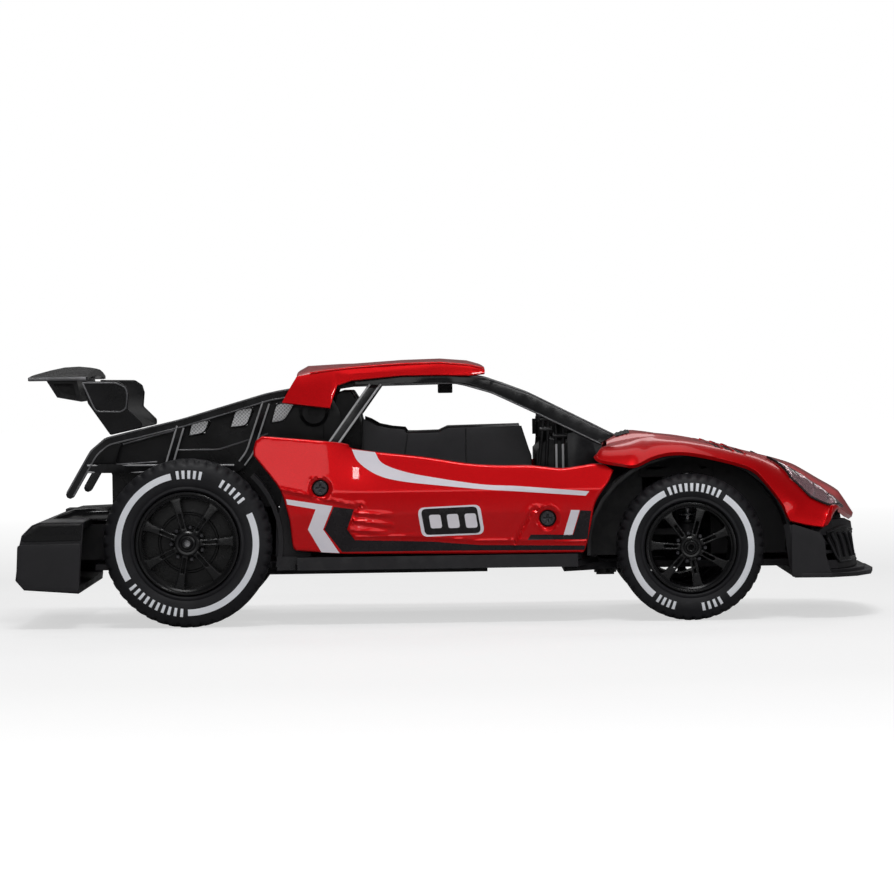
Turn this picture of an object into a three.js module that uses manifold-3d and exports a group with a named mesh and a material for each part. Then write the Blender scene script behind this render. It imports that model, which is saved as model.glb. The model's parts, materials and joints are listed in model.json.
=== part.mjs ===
// A 1:12 radio-controlled drift car: painted metal body panels over a black plastic tub and roll cage,
// a locked rear axle driven by a geared motor, and sprung, steered front wheels.
// Millimetres, +X forward, +Z up. The origin is on the ground under the middle of the car.
import * as THREE from "three";
import { mergeVertices } from "three/addons/utils/BufferGeometryUtils.js";
import Module from "manifold-3d";

const wasm = await Module();
wasm.setup();

// ---------------------------------------------------------------- driving dimensions

const WHEELBASE = 218.5;
const REAR_X = -113.5;
const FRONT_X = REAR_X + WHEELBASE;
const OUTER_FACE = 85; // the wheels' outer faces, from the centre plane
const REAR = { x: REAR_X, radius: 36.6, rim: 22.5, width: 28, firstSpoke: 0, dish: true };
const FRONT = { x: FRONT_X, radius: 31.8, rim: 19.7, width: 26, firstSpoke: Math.PI / 7 };
const SPOKES = 7;
const FRONT_TIP = 188.5; // the splitter's lip, and the rear bumper as far behind the origin
const GAP = 0.3; // between pieces that touch
const PANEL = 2; // thickness of the metal panels
const FLOOR_Z = 24; // underside of the tub
const FLOOR_T = 2.5;
const BELLY_Z = 20; // underside of the front belly
const KINGPIN_Y = 53.5;
const STEER_ARM = 14; // kingpin to tie rod, and servo pivot to tie rod
const ROD_Z = 44; // underside of the tie rod
const AXLE_R = 2;
const GEAR = { teeth: 30, module: 1, y: 12, width: 5 };
const PINION = { teeth: 10, module: 1, y: 11.5, width: 6.5 };
const MESH_DISTANCE = 20.15; // gear centre to pinion centre
const MESH_ANGLE = Math.PI / 9; // the motor sits this far above the axle, seen from the side

// ---------------------------------------------------------------- materials

const finish = (color, roughness, metalness = 0) =>
  new THREE.MeshStandardMaterial({ color, roughness, metalness });
const RED = finish(0xb00008, 0.25, 0.4);
const BLACK = finish(0x0e0e10, 0.3);
const MATTE = finish(0x232326, 0.6);
const RUBBER = finish(0x141418, 0.85);
const STEEL = finish(0x9a9a9e, 0.3, 1);
const NYLON = finish(0xd8d6cc, 0.5);
const LENS = finish(0xe8c8cc, 0.1);
const BOARD = finish(0x0d4f2a, 0.5);
const CELL = finish(0x1d4f9c, 0.4);

// ---------------------------------------------------------------- solids

// A closed geometry as a manifold solid, with its faces pointing out.
function solid(geometry) {
  const bare = geometry.index ? geometry.toNonIndexed() : geometry.clone();
  bare.deleteAttribute("normal");
  bare.deleteAttribute("uv");
  const merged = mergeVertices(bare, 1e-4);
  const triVerts = new Uint32Array(merged.index.array);
  const vertProperties = merged.attributes.position.array;
  const build = () => new wasm.Manifold(new wasm.Mesh({ numProp: 3, vertProperties, triVerts }));
  const made = build();
  if (made.volume() > 0) return made;
  for (let i = 0; i < triVerts.length; i += 3) {
    [triVerts[i + 1], triVerts[i + 2]] = [triVerts[i + 2], triVerts[i + 1]];
  }
  return build();
}

function geometryOf(manifold) {
  const mesh = manifold.getMesh();
  const geometry = new THREE.BufferGeometry();
  geometry.setAttribute("position", new THREE.BufferAttribute(mesh.vertProperties, 3));
  geometry.setIndex(new THREE.BufferAttribute(mesh.triVerts, 1));
  return geometry.toNonIndexed();
}

const join = (...solids) => solids.reduce((a, b) => a.add(b));
const cut = (from, ...tools) => tools.reduce((a, b) => a.subtract(b), from);

function box(x0, x1, y0, y1, z0, z1) {
  const geometry = new THREE.BoxGeometry(x1 - x0, y1 - y0, z1 - z0);
  return solid(geometry.translate((x0 + x1) / 2, (y0 + y1) / 2, (z0 + z1) / 2));
}

const V = (x, y, z) => new THREE.Vector3(x, y, z);
const AXES = { x: V(1, 0, 0), y: V(0, 1, 0), z: V(0, 0, 1) };

// A cylinder from a to b along one axis, through the point (u, v) of the other two in x, y, z order.
function rod(axis, radius, a, b, u, v, segments = 16) {
  const turn = new THREE.Quaternion().setFromUnitVectors(AXES.y, AXES[axis]);
  const geometry = new THREE.CylinderGeometry(radius, radius, b - a, segments).applyQuaternion(turn);
  const mid = (a + b) / 2;
  const at = { x: [mid, u, v], y: [u, mid, v], z: [u, v, mid] }[axis];
  return solid(geometry.translate(...at));
}

const shapeOf = (points) => new THREE.Shape(points.map(([a, b]) => new THREE.Vector2(a, b)));

function extrude(points, depth, basis) {
  const geometry = new THREE.ExtrudeGeometry(shapeOf(points), { depth, bevelEnabled: false });
  return geometry.applyMatrix4(basis);
}

// An outline in x, z extruded from y0 to y1.
function sideways(points, y0, y1) {
  const basis = new THREE.Matrix4().makeBasis(AXES.x, AXES.z, V(0, -1, 0)).setPosition(0, y1, 0);
  return solid(extrude(points, y1 - y0, basis));
}

// An outline in x, y extruded from z0 to z1.
function upward(points, z0, z1) {
  return solid(extrude(points, z1 - z0, new THREE.Matrix4().makeTranslation(0, 0, z0)));
}

// An outline in x, y on the right-hand side, from the centre plane out, closed by its mirror image.
const bothSides = (points) => [...points, ...points.map(([x, y]) => [x, -y]).reverse()];

// A lathe about the row's Y axis through (x, z); the profile holds [radius, y].
function turned(profile, x, z, segments) {
  const points = profile.map(([r, y]) => new THREE.Vector2(r, y));
  return solid(new THREE.LatheGeometry([...points, points[0]], segments).translate(x, 0, z));
}

// A closed sheet between two grids of points, [row][column].
function closedSheet(outer, inner) {
  const rows = outer.length;
  const columns = outer[0].length;
  const at = (layer, i, j) => layer * rows * columns + i * columns + j;
  const faces = [];
  const quad = (a, b, c, d) => faces.push(a, b, c, a, c, d);
  for (let i = 0; i < rows - 1; i++) {
    for (let j = 0; j < columns - 1; j++) {
      quad(at(0, i, j), at(0, i + 1, j), at(0, i + 1, j + 1), at(0, i, j + 1));
      quad(at(1, i, j), at(1, i, j + 1), at(1, i + 1, j + 1), at(1, i + 1, j));
    }
    const last = columns - 1;
    quad(at(0, i, 0), at(1, i, 0), at(1, i + 1, 0), at(0, i + 1, 0));
    quad(at(0, i, last), at(0, i + 1, last), at(1, i + 1, last), at(1, i, last));
  }
  for (let j = 0; j < columns - 1; j++) {
    const last = rows - 1;
    quad(at(0, 0, j), at(0, 0, j + 1), at(1, 0, j + 1), at(1, 0, j));
    quad(at(0, last, j), at(1, last, j), at(1, last, j + 1), at(0, last, j + 1));
  }
  const points = [...outer.flat(), ...inner.flat()];
  const geometry = new THREE.BufferGeometry().setFromPoints(points).setIndex(faces);
  return solid(geometry);
}

// The grid moved along its own normals by a distance.
function offsetGrid(grid, distance) {
  const pick = (i, j) => {
    const row = grid[Math.min(Math.max(i, 0), grid.length - 1)];
    return row[Math.min(Math.max(j, 0), row.length - 1)];
  };
  return grid.map((row, i) =>
    row.map((point, j) => {
      const along = pick(i + 1, j).clone().sub(pick(i - 1, j));
      const across = pick(i, j + 1).clone().sub(pick(i, j - 1));
      const normal = across.cross(along).normalize();
      return point.clone().addScaledVector(normal, distance);
    }),
  );
}

// A piecewise straight function through [x, value] points.
function chain(points) {
  return (x) => {
    const i = Math.max(1, points.findIndex(([at]) => at >= x));
    const [x0, v0] = points[i - 1];
    const [x1, v1] = points[i];
    return v0 + ((v1 - v0) * Math.min(Math.max(x - x0, 0), x1 - x0)) / (x1 - x0);
  };
}

const smooth = (a, b, x) => {
  const t = Math.min(1, Math.max(0, (x - a) / (b - a)));
  return t * t * (3 - 2 * t);
};

// ---------------------------------------------------------------- the object

const car = new THREE.Group();
const rightSide = new THREE.Group();
const leftSide = new THREE.Group();
leftSide.scale.y = -1;
car.add(rightSide, leftSide);

function add(name, manifold, material, group = car) {
  const mesh = new THREE.Mesh(geometryOf(manifold), material);
  mesh.name = name;
  group.add(mesh);
}

// A right-hand piece and its mirror image.
function addPair(name, manifold, material) {
  add(name + "_right", manifold, material, rightSide);
  add(name + "_left", manifold, material, leftSide);
}

// ---------------------------------------------------------------- side panels

// The body side's distance from the centre plane: widest at the belt, leaning in above it except over the
// rear haunch, tucked in below, and hollowed along the door.
const BELT_Z = 58;
function bodyHalfWidth(x, z) {
  const haunch = smooth(-25, -60, x);
  const lean = 0.42 * (1 - 0.55 * haunch) * Math.max(0, z - BELT_Z);
  const tuck = 0.1 * Math.max(0, 48 - z);
  const hollow = 2.5 * Math.exp(-(((x - 8) / 40) ** 2));
  return 81.5 - lean - tuck - hollow;
}

const PANEL_TOP = [
  [-84.5, 77], [-83, 81], [-80.5, 82.7], [-46.5, 79.3], [-42, 77], [-32, 75.2], [-11, 72.7],
  [8, 69.6], [22, 68.5], [36, 68.3], [48.5, 66.9], [56, 67.6], [63.5, 68.6], [68, 68], [72, 65.6],
];
const PANEL_BOTTOM = [
  [-84.5, 74.4], [-80.5, 69.4], [-77, 65], [-72.4, 58], [-69, 45.6], [-68, 34.1], [-66, 32.7],
  [-45, 30.9], [13, 30], [58.7, 30], [60.3, 35], [62.2, 44.3], [65.3, 54.4], [72, 64],
];
const PANEL_ROWS = 7;
const SCREWS = { rear: [-55.5, 59.7], front: [43.1, 45.2] };
const SCREW_HOLE_R = 3.6;

function sidePanel() {
  const top = chain(PANEL_TOP);
  const bottom = chain(PANEL_BOTTOM);
  const stations = [...PANEL_TOP, ...PANEL_BOTTOM, [-60], [-20], [-2]].map(([x]) => x);
  const xs = [...new Set(stations)].sort((a, b) => a - b);
  const spaced = xs.filter((x, i) => i === 0 || x - xs[i - 1] > 0.4);
  const face = (depth) =>
    spaced.map((x) =>
      Array.from({ length: PANEL_ROWS }, (_, j) => {
        const z = bottom(x) + ((top(x) - bottom(x)) * j) / (PANEL_ROWS - 1);
        return V(x, depth - bodyHalfWidth(x, z), z);
      }),
    );
  const holes = Object.values(SCREWS).map(([x, z]) => rod("y", SCREW_HOLE_R, -90, -60, x, z));
  return cut(closedSheet(face(0), face(PANEL)), ...holes);
}
addPair("side_panel", sidePanel(), RED);

// A cross-head screw: its head sits in the panel's hole and clamps on the tub's boss.
function panelScrew([x, z]) {
  const seat = -(bodyHalfWidth(x, z) - PANEL - 0.3);
  const head = rod("y", 3.1, seat - 1.8, seat, x, z);
  const shank = rod("y", 1.1, seat, seat + 10, x, z, 8);
  const cross = join(
    box(x - 1.8, x + 1.8, seat - 2, seat - 0.8, z - 0.35, z + 0.35),
    box(x - 0.35, x + 0.35, seat - 2, seat - 0.8, z - 1.8, z + 1.8),
  );
  return cut(join(head, shank), cross);
}
addPair("panel_screw_rear", panelScrew(SCREWS.rear), STEEL);
addPair("panel_screw_front", panelScrew(SCREWS.front), STEEL);

// ---------------------------------------------------------------- hood with fenders, and headlights

// Stations from the windscreen to the nose: [x, z] on the centre line, [x, y, z] on the fender's crest
// and [x, y, z] on the lower edge, which runs over the wheel arch, along the bumper and up to the lamp.
const HOOD = [
  { middle: [71, 78.5], crest: [68.5, 60, 75.6], edge: [64.8, 79, 72.4] },
  { middle: [74.5, 80], crest: [72, 60, 76.8], edge: [66.5, 79.5, 70.3] },
  { middle: [81, 81.8], crest: [80, 60, 78], edge: [75.4, 80, 68.4] },
  { middle: [86, 81.5], crest: [86, 60, 79.4], edge: [81.1, 80, 67.8] },
  { middle: [92, 80.6], crest: [91, 60, 79.8], edge: [88.2, 80, 71.1] },
  { middle: [99, 79.3], crest: [98, 60, 79.2], edge: [96, 80, 73] },
  { middle: [107.5, 77.6], crest: [107, 60, 78], edge: [105, 80, 72.9] },
  { middle: [122, 74.4], crest: [121, 61, 75], edge: [118, 80, 70.2] },
  { middle: [139, 70.4], crest: [137, 63, 70.5], edge: [131.5, 80, 65.9] },
  { middle: [148, 68], crest: [147, 64, 65.5], edge: [138, 80, 59.8] },
  { middle: [156, 65], crest: [154, 65, 61.2], edge: [145.4, 80, 49.7] },
  { middle: [166, 59], crest: [162, 66, 55.5], edge: [148.6, 80, 42.6] },
  { middle: [174.8, 53.6], crest: [167, 67, 51.5], edge: [162.6, 79, 39.8] },
  { middle: [181, 42.5], crest: [171.5, 67, 47], edge: [166, 77.5, 49] },
];
// Across the hood: how far from the middle to the crest, and how deep the valley beside it is.
const HOOD_ACROSS = [
  [0, 0], [0.32, 0], [0.5, -2.2], [0.8, -1.6], [1, 0],
];
const FENDER_DOWN = [0.35, 0.75, 1]; // from the crest to the lower edge
const FENDER_BULGE = 3;

function hoodSection({ middle, crest, edge }) {
  const [mx, mz] = middle;
  const [cx, cy, cz] = crest;
  const [ex, ey, ez] = edge;
  const inner = HOOD_ACROSS.map(([t, dip]) => V(mx + (cx - mx) * t ** 2, -cy * t, mz + (cz - mz) * t + dip));
  const outer = FENDER_DOWN.map((t) => {
    const bulge = FENDER_BULGE * Math.sin(Math.PI * t);
    return V(cx + (ex - cx) * t, -(cy + (ey - cy) * t + bulge * 0.8), cz + (ez - cz) * t + bulge * 0.4);
  });
  return [...inner, ...outer];
}

const mirrorSection = (section) => [
  ...section.slice(1).reverse().map((p) => V(p.x, -p.y, p.z)),
  ...section,
];

function hoodShell() {
  const outer = HOOD.map((station) => mirrorSection(hoodSection(station)));
  return closedSheet(outer, offsetGrid(outer, -PANEL));
}
add("hood_shell", hoodShell(), RED);

// A clear lens over the fender's crest, from behind the nose to the front corner.
function headlight() {
  const lamp = HOOD.slice(8, 14).map((station) => hoodSection(station).slice(3, 6));
  return closedSheet(offsetGrid(lamp, 2.1), offsetGrid(lamp, 0.9));
}
addPair("headlight", headlight(), LENS);

// ---------------------------------------------------------------- roof

// Stations from the rear: the middle, the shoulder at y 52 and the lower edge at y 54 to 58, as [x, z].
const ROOF_SHOULDER_Y = 52;
const ROOF = [
  { middle: [-66, 110.5], shoulder: [-65.8, 108.9], edge: [-72.3, 96.9] },
  { middle: [-62, 112.7], shoulder: [-60, 109.9], edge: [-62, 95.6] },
  { middle: [-52, 113.2], shoulder: [-50.5, 111.2], edge: [-51.2, 94.2] },
  { middle: [-50, 113.3], shoulder: [-49.3, 111.3], edge: [-50, 98] },
  { middle: [-47.4, 113.4], shoulder: [-47.4, 111.5], edge: [-48, 104] },
  { middle: [-41.4, 113.5], shoulder: [-41.4, 112.1], edge: [-41.4, 106.2] },
  { middle: [-20, 114.8], shoulder: [-20, 113.5], edge: [-20, 108] },
  { middle: [-3, 115.2], shoulder: [-3, 113.8], edge: [-3, 108] },
  { middle: [9, 114.2], shoulder: [10, 112.6], edge: [10, 107.6] },
  { middle: [14.5, 112.6], shoulder: [16.9, 110.8], edge: [16.9, 108.4] },
];

function roofSection({ middle, shoulder, edge }) {
  const flare = 0.35 * (shoulder[1] - edge[1]);
  const y = ROOF_SHOULDER_Y;
  const near = (a, b, t) => a + (b - a) * t;
  return [
    V(middle[0], 0, middle[1]),
    V(near(middle[0], shoulder[0], 0.5), -y * 0.55, near(middle[1], shoulder[1], 0.3)),
    V(near(middle[0], shoulder[0], 0.9), -y * 0.9, near(middle[1], shoulder[1], 0.75)),
    V(shoulder[0], -y, shoulder[1] - 0.6),
    V(near(shoulder[0], edge[0], 0.5), -(y + flare * 0.6), near(shoulder[1], edge[1], 0.5)),
    V(edge[0], -(y + flare), edge[1]),
  ];
}

function roofPanel() {
  const outer = ROOF.map((station) => mirrorSection(roofSection(station)));
  return closedSheet(outer, offsetGrid(outer, -1.6));
}
add("roof_panel", roofPanel(), RED);

// ---------------------------------------------------------------- cabin frame

// Bars in the x, z plane: each is a straight square bar with round ends.
function bars(points, width, y0, y1) {
  const pieces = [];
  points.slice(1).forEach(([x1, z1], i) => {
    const [x0, z0] = points[i];
    const length = Math.hypot(x1 - x0, z1 - z0);
    const geometry = new THREE.BoxGeometry(length, y1 - y0, width);
    geometry.rotateY(-Math.atan2(z1 - z0, x1 - x0));
    geometry.translate((x0 + x1) / 2, (y0 + y1) / 2, (z0 + z1) / 2);
    pieces.push(solid(geometry), rod("y", width / 2, y0, y1, x1, z1, 8));
  });
  return join(...pieces);
}

// Leans a flat side frame: each vertex's y moves by a function of its x and z.
function lean(manifold, shift) {
  const geometry = geometryOf(manifold);
  const p = geometry.attributes.position;
  for (let i = 0; i < p.count; i++) p.setY(i, p.getY(i) + shift(p.getX(i), p.getZ(i)));
  return solid(geometry);
}

const mirrored = (manifold) => solid(geometryOf(manifold).scale(1, -1, 1));

const CABIN_TOP_Y = 50;
const CABIN_LEAN = 0.5; // outward per millimetre down
const CABIN_TOP_Z = 105;
const cabinLean = (x, z) => -CABIN_LEAN * Math.max(0, CABIN_TOP_Z - z);

function cabinFrame() {
  const y0 = -CABIN_TOP_Y;
  const y1 = y0 + 4;
  const rail = bars([[-64, 102.4], [-41, 105.6], [4, 106.2], [16.5, 103.6], [37, 95.2], [63, 81.6]], 4.6, y0, y1);
  const pillar = bars([[-31.5, 104.5], [-50, 78], [-56, 70]], 4.4, y0, y1);
  const sill = bars([[-56, 70], [-30, 67], [8, 64], [66, 62.5]], 4, y0, y1);
  const quarter = sideways([[52.5, 62], [52.5, 81.5], [58, 82.5], [67, 77], [68, 62]], y0, y0 + 1.6);
  const side = lean(join(rail, pillar, sill, quarter), cabinLean);
  const header = box(12, 17, -48, 48, 102, 105);
  const brace = box(-4, 2, -48, 48, 107.2, 109.6);
  const braceLegs = [-1, 1].map((s) => box(-4, 2, s * 47 - 1.5, s * 47 + 1.5, 105, 108));
  const rearHeader = box(-64, -60, -49, 49, 100.5, 104);
  const cowl = box(58, 62, -60, 60, 77.5, 81.5);
  return join(side, mirrored(side), header, brace, ...braceLegs, rearHeader, cowl);
}
add("cabin_frame", cabinFrame(), BLACK);

function rearviewMirror() {
  return join(box(-4, 2.6, -9, 9, 99.7, 103.8), rod("z", 1.3, 102, 106.9, -1, 0, 8));
}
add("rearview_mirror", rearviewMirror(), BLACK);

// ---------------------------------------------------------------- rear frames and engine cover

const deckTop = chain([[-166, 57], [-150, 82], [-116, 89.5], [-78, 100], [-60, 103.5]]);
const rearFrameY = (x) => 52 + 7.5 * smooth(-62, -160, x);
const rearLean = (x, z) => -(rearFrameY(x) - 52) + 0.17 * Math.max(0, deckTop(x) - z);

function rearFrame() {
  const y0 = -52;
  const y1 = -48.4;
  const w = 3.8;
  const top = bars([[-67.5, 101.2], [-78.5, 99.4], [-116, 88.6], [-149, 81], [-155, 76], [-165.5, 58]], w, y0, y1);
  const bottom = bars([[-158, 69.2], [-94, 68.2]], w, y0, y1);
  const rearBar = bars([[-117, 88], [-122.5, 69]], w, y0, y1);
  const frontBar = bars([[-79, 98], [-87, 75], [-90.5, 70], [-94, 68.2]], w, y0, y1);
  return lean(join(top, bottom, rearBar, frontBar), rearLean);
}
addPair("rear_frame", rearFrame(), BLACK);

const DECK_HALF = 44;
const DECK_WINDOWS = [
  [[-112, 82.5], [-107, 83.5], [-104.3, 88.4], [-110.2, 86.6]],
  [[-93.5, 85.8], [-88.3, 86.6], [-85.1, 93.4], [-90.8, 91.8]],
  [[-76.3, 88.2], [-71.2, 89], [-68.2, 96.6], [-73.6, 96]],
];

// A hood over the motor: a sloping deck, two side walls with mesh windows and a rear wall.
function engineCover() {
  const outside = [
    [-53, 52], [-53, 97], [-66, 100], [-78, 98], [-116, 88], [-146.5, 80], [-149.5, 70], [-148, 66], [-148, 48],
  ];
  const inside = [
    [-50, 46], [-50, 94.5], [-66, 98], [-78, 96], [-116, 86], [-145, 78.4], [-147.4, 70], [-146, 66], [-146, 40],
  ];
  const body = sideways(outside, -DECK_HALF, DECK_HALF);
  const room = sideways(inside, 2 - DECK_HALF, DECK_HALF - 2);
  const windows = DECK_WINDOWS.flatMap((w) => [sideways(w, -50, 3 - DECK_HALF), sideways(w, DECK_HALF - 3, 50)]);
  return cut(body, room, ...windows);
}
add("engine_cover", engineCover(), BLACK);

// ---------------------------------------------------------------- rear wing

const WING_HALF = 62;

// The blade arches over its middle.
function wingBlade() {
  const ys = [-1, -0.72, -0.4, 0, 0.4, 0.72, 1];
  const chordSteps = [0, 0.2, 0.45, 0.7, 0.9, 1];
  const face = (side) =>
    ys.map((s) => {
      const arch = 1 - Math.abs(s) ** 2;
      return chordSteps.map((t) => {
        const x = -183 + t * 26;
        const crown = arch * 4.6 * Math.sin(Math.PI * Math.min(1, t * 0.62 + 0.1));
        return V(x, s * WING_HALF, side > 0 ? 109.4 + crown : 108 + crown * 0.55);
      });
    });
  const blade = closedSheet(face(1), face(-1));
  const section = [[-175.5, 108.6], [-170.5, 100.6], [-159.9, 98.6], [-161.9, 108.6]];
  const hollow = [[-172, 106.6], [-169.3, 102], [-162, 100.7], [-163.4, 106.6]];
  const flap = sideways(section, 2 - WING_HALF, WING_HALF - 2);
  const pocket = (side) => sideways(hollow, side * (WING_HALF - 1) - 7, side * (WING_HALF - 1) + 7);
  return cut(join(blade, flap), pocket(1), pocket(-1));
}
add("wing_blade", wingBlade(), BLACK);

// An endplate and the stay below it, which stands on the rear frame's top bar.
function wingStay() {
  const outline = [
    [-159.5, 107.6], [-143.4, 107.3], [-140, 105], [-139, 101.5], [-139.6, 95.2], [-133.5, 89.2],
    [-133.5, 86.8], [-147.5, 83.8], [-157, 97.8],
  ];
  const plate = sideways(outline, -WING_HALF, 2.2 - WING_HALF);
  return lean(plate, (x, z) => 0.25 * Math.max(0, 94 - z));
}
addPair("wing_stay", wingStay(), BLACK);

// ---------------------------------------------------------------- bumpers and splitter

function rearBumper() {
  const section = [
    [-FRONT_TIP, 21.5], [-186.5, 37], [-185.5, 41], [-181, 45.4], [-178.5, 46.4], [-158.5, 46.4],
    [-160, 29], [-161, 15.4], [-184.8, 17.2],
  ];
  const room = [[-150, 18], [-150, 43.5], [-179, 43.5], [-183, 39], [-185, 24], [-182.5, 19.8], [-161, 18.5]];
  const block = cut(sideways(section, -80, 80), sideways(room, -77, 77));
  const hump = box(-171, -158.8, -12, 12, 44, 50.5);
  const arms = [-1, 1].map((s) => box(-180, -152.5, s * 20 - 6, s * 20 + 6, 28, 44));
  return join(block, hump, ...arms);
}
add("rear_bumper", rearBumper(), MATTE);

// The nose in plan, from the rear of the right-hand side to the middle.
const NOSE = [[150.5, -80], [162, -79.5], [169, -74], [176, -58], [180, -36], [182, -14]];
const NOSE_TOP = [41, 36.6, 42.6, 42.8, 40.2, 40]; // the bumper's upper edge, under the hood's lip
const BUMPER_BOTTOM = 21.4;

function frontBumper() {
  const half = NOSE.map(([x, y], i) => ({ x, y, top: NOSE_TOP[i] }));
  const whole = [...half, ...half.map((p) => ({ ...p, y: -p.y })).reverse()];
  const levels = [0, 0.35, 0.7, 1];
  const ring = (inset) =>
    whole.map(({ x, y, top }) =>
      levels.map((t) => {
        const rake = 2.5 * t; // the face leans back as it rises
        const scale = 1 - inset / 80;
        return V(x - rake - inset, y * scale, BUMPER_BOTTOM + (top - BUMPER_BOTTOM) * t);
      }),
    );
  const shell = closedSheet(ring(0), ring(2.5));
  const intake = upward([[160, -77], [172, -84], [186, -60], [176, -50]], 25, 36);
  const intakes = [intake, mirrored(intake)];
  const grille = box(170, 190, -34, 34, 25.5, 35);
  const opened = cut(shell, ...intakes, grille);
  const strip = [
    [157, -78.4], [167.5, -73], [174.2, -57.4], [178, -44], [175, -44], [171.5, -56.6], [165, -70], [157, -76],
  ];
  const inner = [28, 31.8].map((z) => upward(strip, z, z + 1.4)).flatMap((bar) => [bar, mirrored(bar)]);
  const backing = upward(bothSides([[158, -72], [172, -52], [176, -30]]), 22, 37);
  const hollow = upward(bothSides([[150, -69], [169, -49], [173, -28]]), 20, 40);
  return cut(join(opened, ...inner, cut(backing, hollow)));
}
add("front_bumper", frontBumper(), MATTE);

function frontSplitter() {
  const lower = [[150, -80], [166, -82], [178, -71], [185.5, -50], [FRONT_TIP, -20]];
  const upper = [[150, -79.5], [164, -80], [175, -69], [182.5, -48], [185, -20]];
  return join(upward(bothSides(lower), 17.8, 19.6), upward(bothSides(upper), 19.5, 21.1));
}
add("front_splitter", frontSplitter(), MATTE);

// ---------------------------------------------------------------- tub

const BATTERY_BAY = { x0: -45, x1: 15, half: 20 };
const DOOR_TOP = FLOOR_Z - GAP; // the battery door slides under the floor
const SWITCH_X = -60;
const SWITCH_Y = -33;
const TRIM_X = 70;

// Half of an arch over a wheel, as an outline in x, z between two ellipses.
function archOutline(x, z, a, b, thickness, from, to, steps) {
  const angles = Array.from({ length: steps + 1 }, (_, i) => from + ((to - from) * i) / steps);
  const arc = (grow) => angles.map((t) => [x + (a + grow) * Math.cos(t), z + (b + grow) * Math.sin(t)]);
  return [...arc(0), ...arc(thickness).reverse()];
}

function chassisTray() {
  const plan = [[-156, -44], [-78, -44], [-70, -60], [-66, -79], [56, -79], [60, -60], [66, -40]];
  const floor = upward(bothSides(plan), FLOOR_Z, FLOOR_Z + FLOOR_T);
  const belly = upward(bothSides([[50, -70], [60, -60], [74, -40], [150, -40], [156, -56], [169, -40]]),
    BELLY_Z + 1.6, BELLY_Z + 4.6);
  const bellyStep = box(50, 66, -40, 40, BELLY_Z + 1.6, FLOOR_Z + FLOOR_T);
  const sills = [-1, 1].map((s) => box(-66, 56, Math.min(s * 76, s * 79), Math.max(s * 76, s * 79), 24.2, 29.6));
  const walls = [-1, 1].map((s) => box(-69, 58, s * 63 - 1, s * 63 + 1, FLOOR_Z, 60));
  const liner = sideways(
    archOutline(REAR.x, REAR.radius, 39.5, 39.5, 2, -0.28, 0.8, 8), -74, -62);
  const linerFoot = box(-75, -66, -74, -62, FLOOR_Z, 30);
  const bosses = Object.values(SCREWS).map(([x, z]) =>
    rod("y", 4.4, -(Math.min(bodyHalfWidth(x, z + 4.4), bodyHalfWidth(x, z - 4.4)) - PANEL - 0.8), -63, x, z, 12));
  const holes = Object.values(SCREWS).map(([x, z]) => rod("y", 1.4, -90, -64.5, x, z, 8));
  const right = cut(join(liner, linerFoot, ...bosses), ...holes);
  const railOutline = [[-22.6, FLOOR_Z + 1], [-22.6, 20.2], [-18, 20.2], [-18, 21.4], [-19.9, 21.4], [-19.9, FLOOR_Z + 1]];
  const lengthways = new THREE.Matrix4().makeBasis(AXES.y, AXES.z, AXES.x).setPosition(BATTERY_BAY.x0 - 56, 0, 0);
  const rail = solid(extrude(railOutline, BATTERY_BAY.x1 - BATTERY_BAY.x0 + 58, lengthways));
  const stop = box(BATTERY_BAY.x1 + 0.6, BATTERY_BAY.x1 + 2, -22.6, 22.6, 20.2, FLOOR_Z + 1);
  const guides = join(rail, mirrored(rail), stop);
  const tub = join(floor, belly, bellyStep, guides, ...sills, ...walls, right, mirrored(right));
  const bay = box(BATTERY_BAY.x0, BATTERY_BAY.x1, -BATTERY_BAY.half, BATTERY_BAY.half, 20, 30);
  const slot = box(SWITCH_X - 5, SWITCH_X + 5, SWITCH_Y - 3, SWITCH_Y + 3, 20, 30);
  const gearSlot = box(REAR_X - 17, REAR_X + 17, GEAR.y - 2, GEAR.y + GEAR.width + 2, 20, 30);
  const trimHole = rod("z", 2.6, 15, 30, TRIM_X, 0);
  const screwPilots = holes.flatMap((h) => [h, mirrored(h)]);
  return cut(tub, bay, slot, gearSlot, trimHole, ...screwPilots);
}
add("chassis_tray", chassisTray(), MATTE);

// Black arches inside the front fenders, tied across the car by a bulkhead.
function frontArches() {
  const arch = archOutline(FRONT.x, FRONT.radius, 43.5, 39.5, 1.5, -0.08, Math.PI + 0.08, 16);
  const behindFender = [
    [60.4, 30], [61, 46], [63, 55], [66, 63], [70, 69], [78, 72], [88, 74], [100, 73.4], [110, 71.6], [120, 68.8],
    [130, 65.2], [138, 60.5], [144, 54], [147.6, 46], [149.2, 38], [149.2, 27.5], [60.4, 27.5],
  ];
  const wall = sideways(behindFender, -43, -41);
  const wellWindow = box(85.5, 115.5, -50, -30, 20, 66);
  const right = join(sideways(arch, -74, -42), cut(wall, wellWindow));
  const bulkhead = box(60.4, 62.4, -42, 42, 27.5, 60);
  const nose = box(147.6, 149.2, -42, 42, 27.5, 40);
  return join(right, mirrored(right), bulkhead, nose);
}
add("front_arches", frontArches(), MATTE);

// ---------------------------------------------------------------- cockpit

// A bucket seat: headrest, back and base in one side outline.
function seat() {
  const outline = [
    [-49, 100], [-47, 101.5], [-42, 101.5], [-39.8, 98], [-38.2, 89], [-32.5, 75], [-30, 60], [-19.5, 58],
    [-19.5, 50], [-38, 50], [-43, 62], [-47, 78], [-50, 92],
  ];
  return sideways(outline, -42, -14);
}
addPair("seat", seat(), BLACK);

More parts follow.
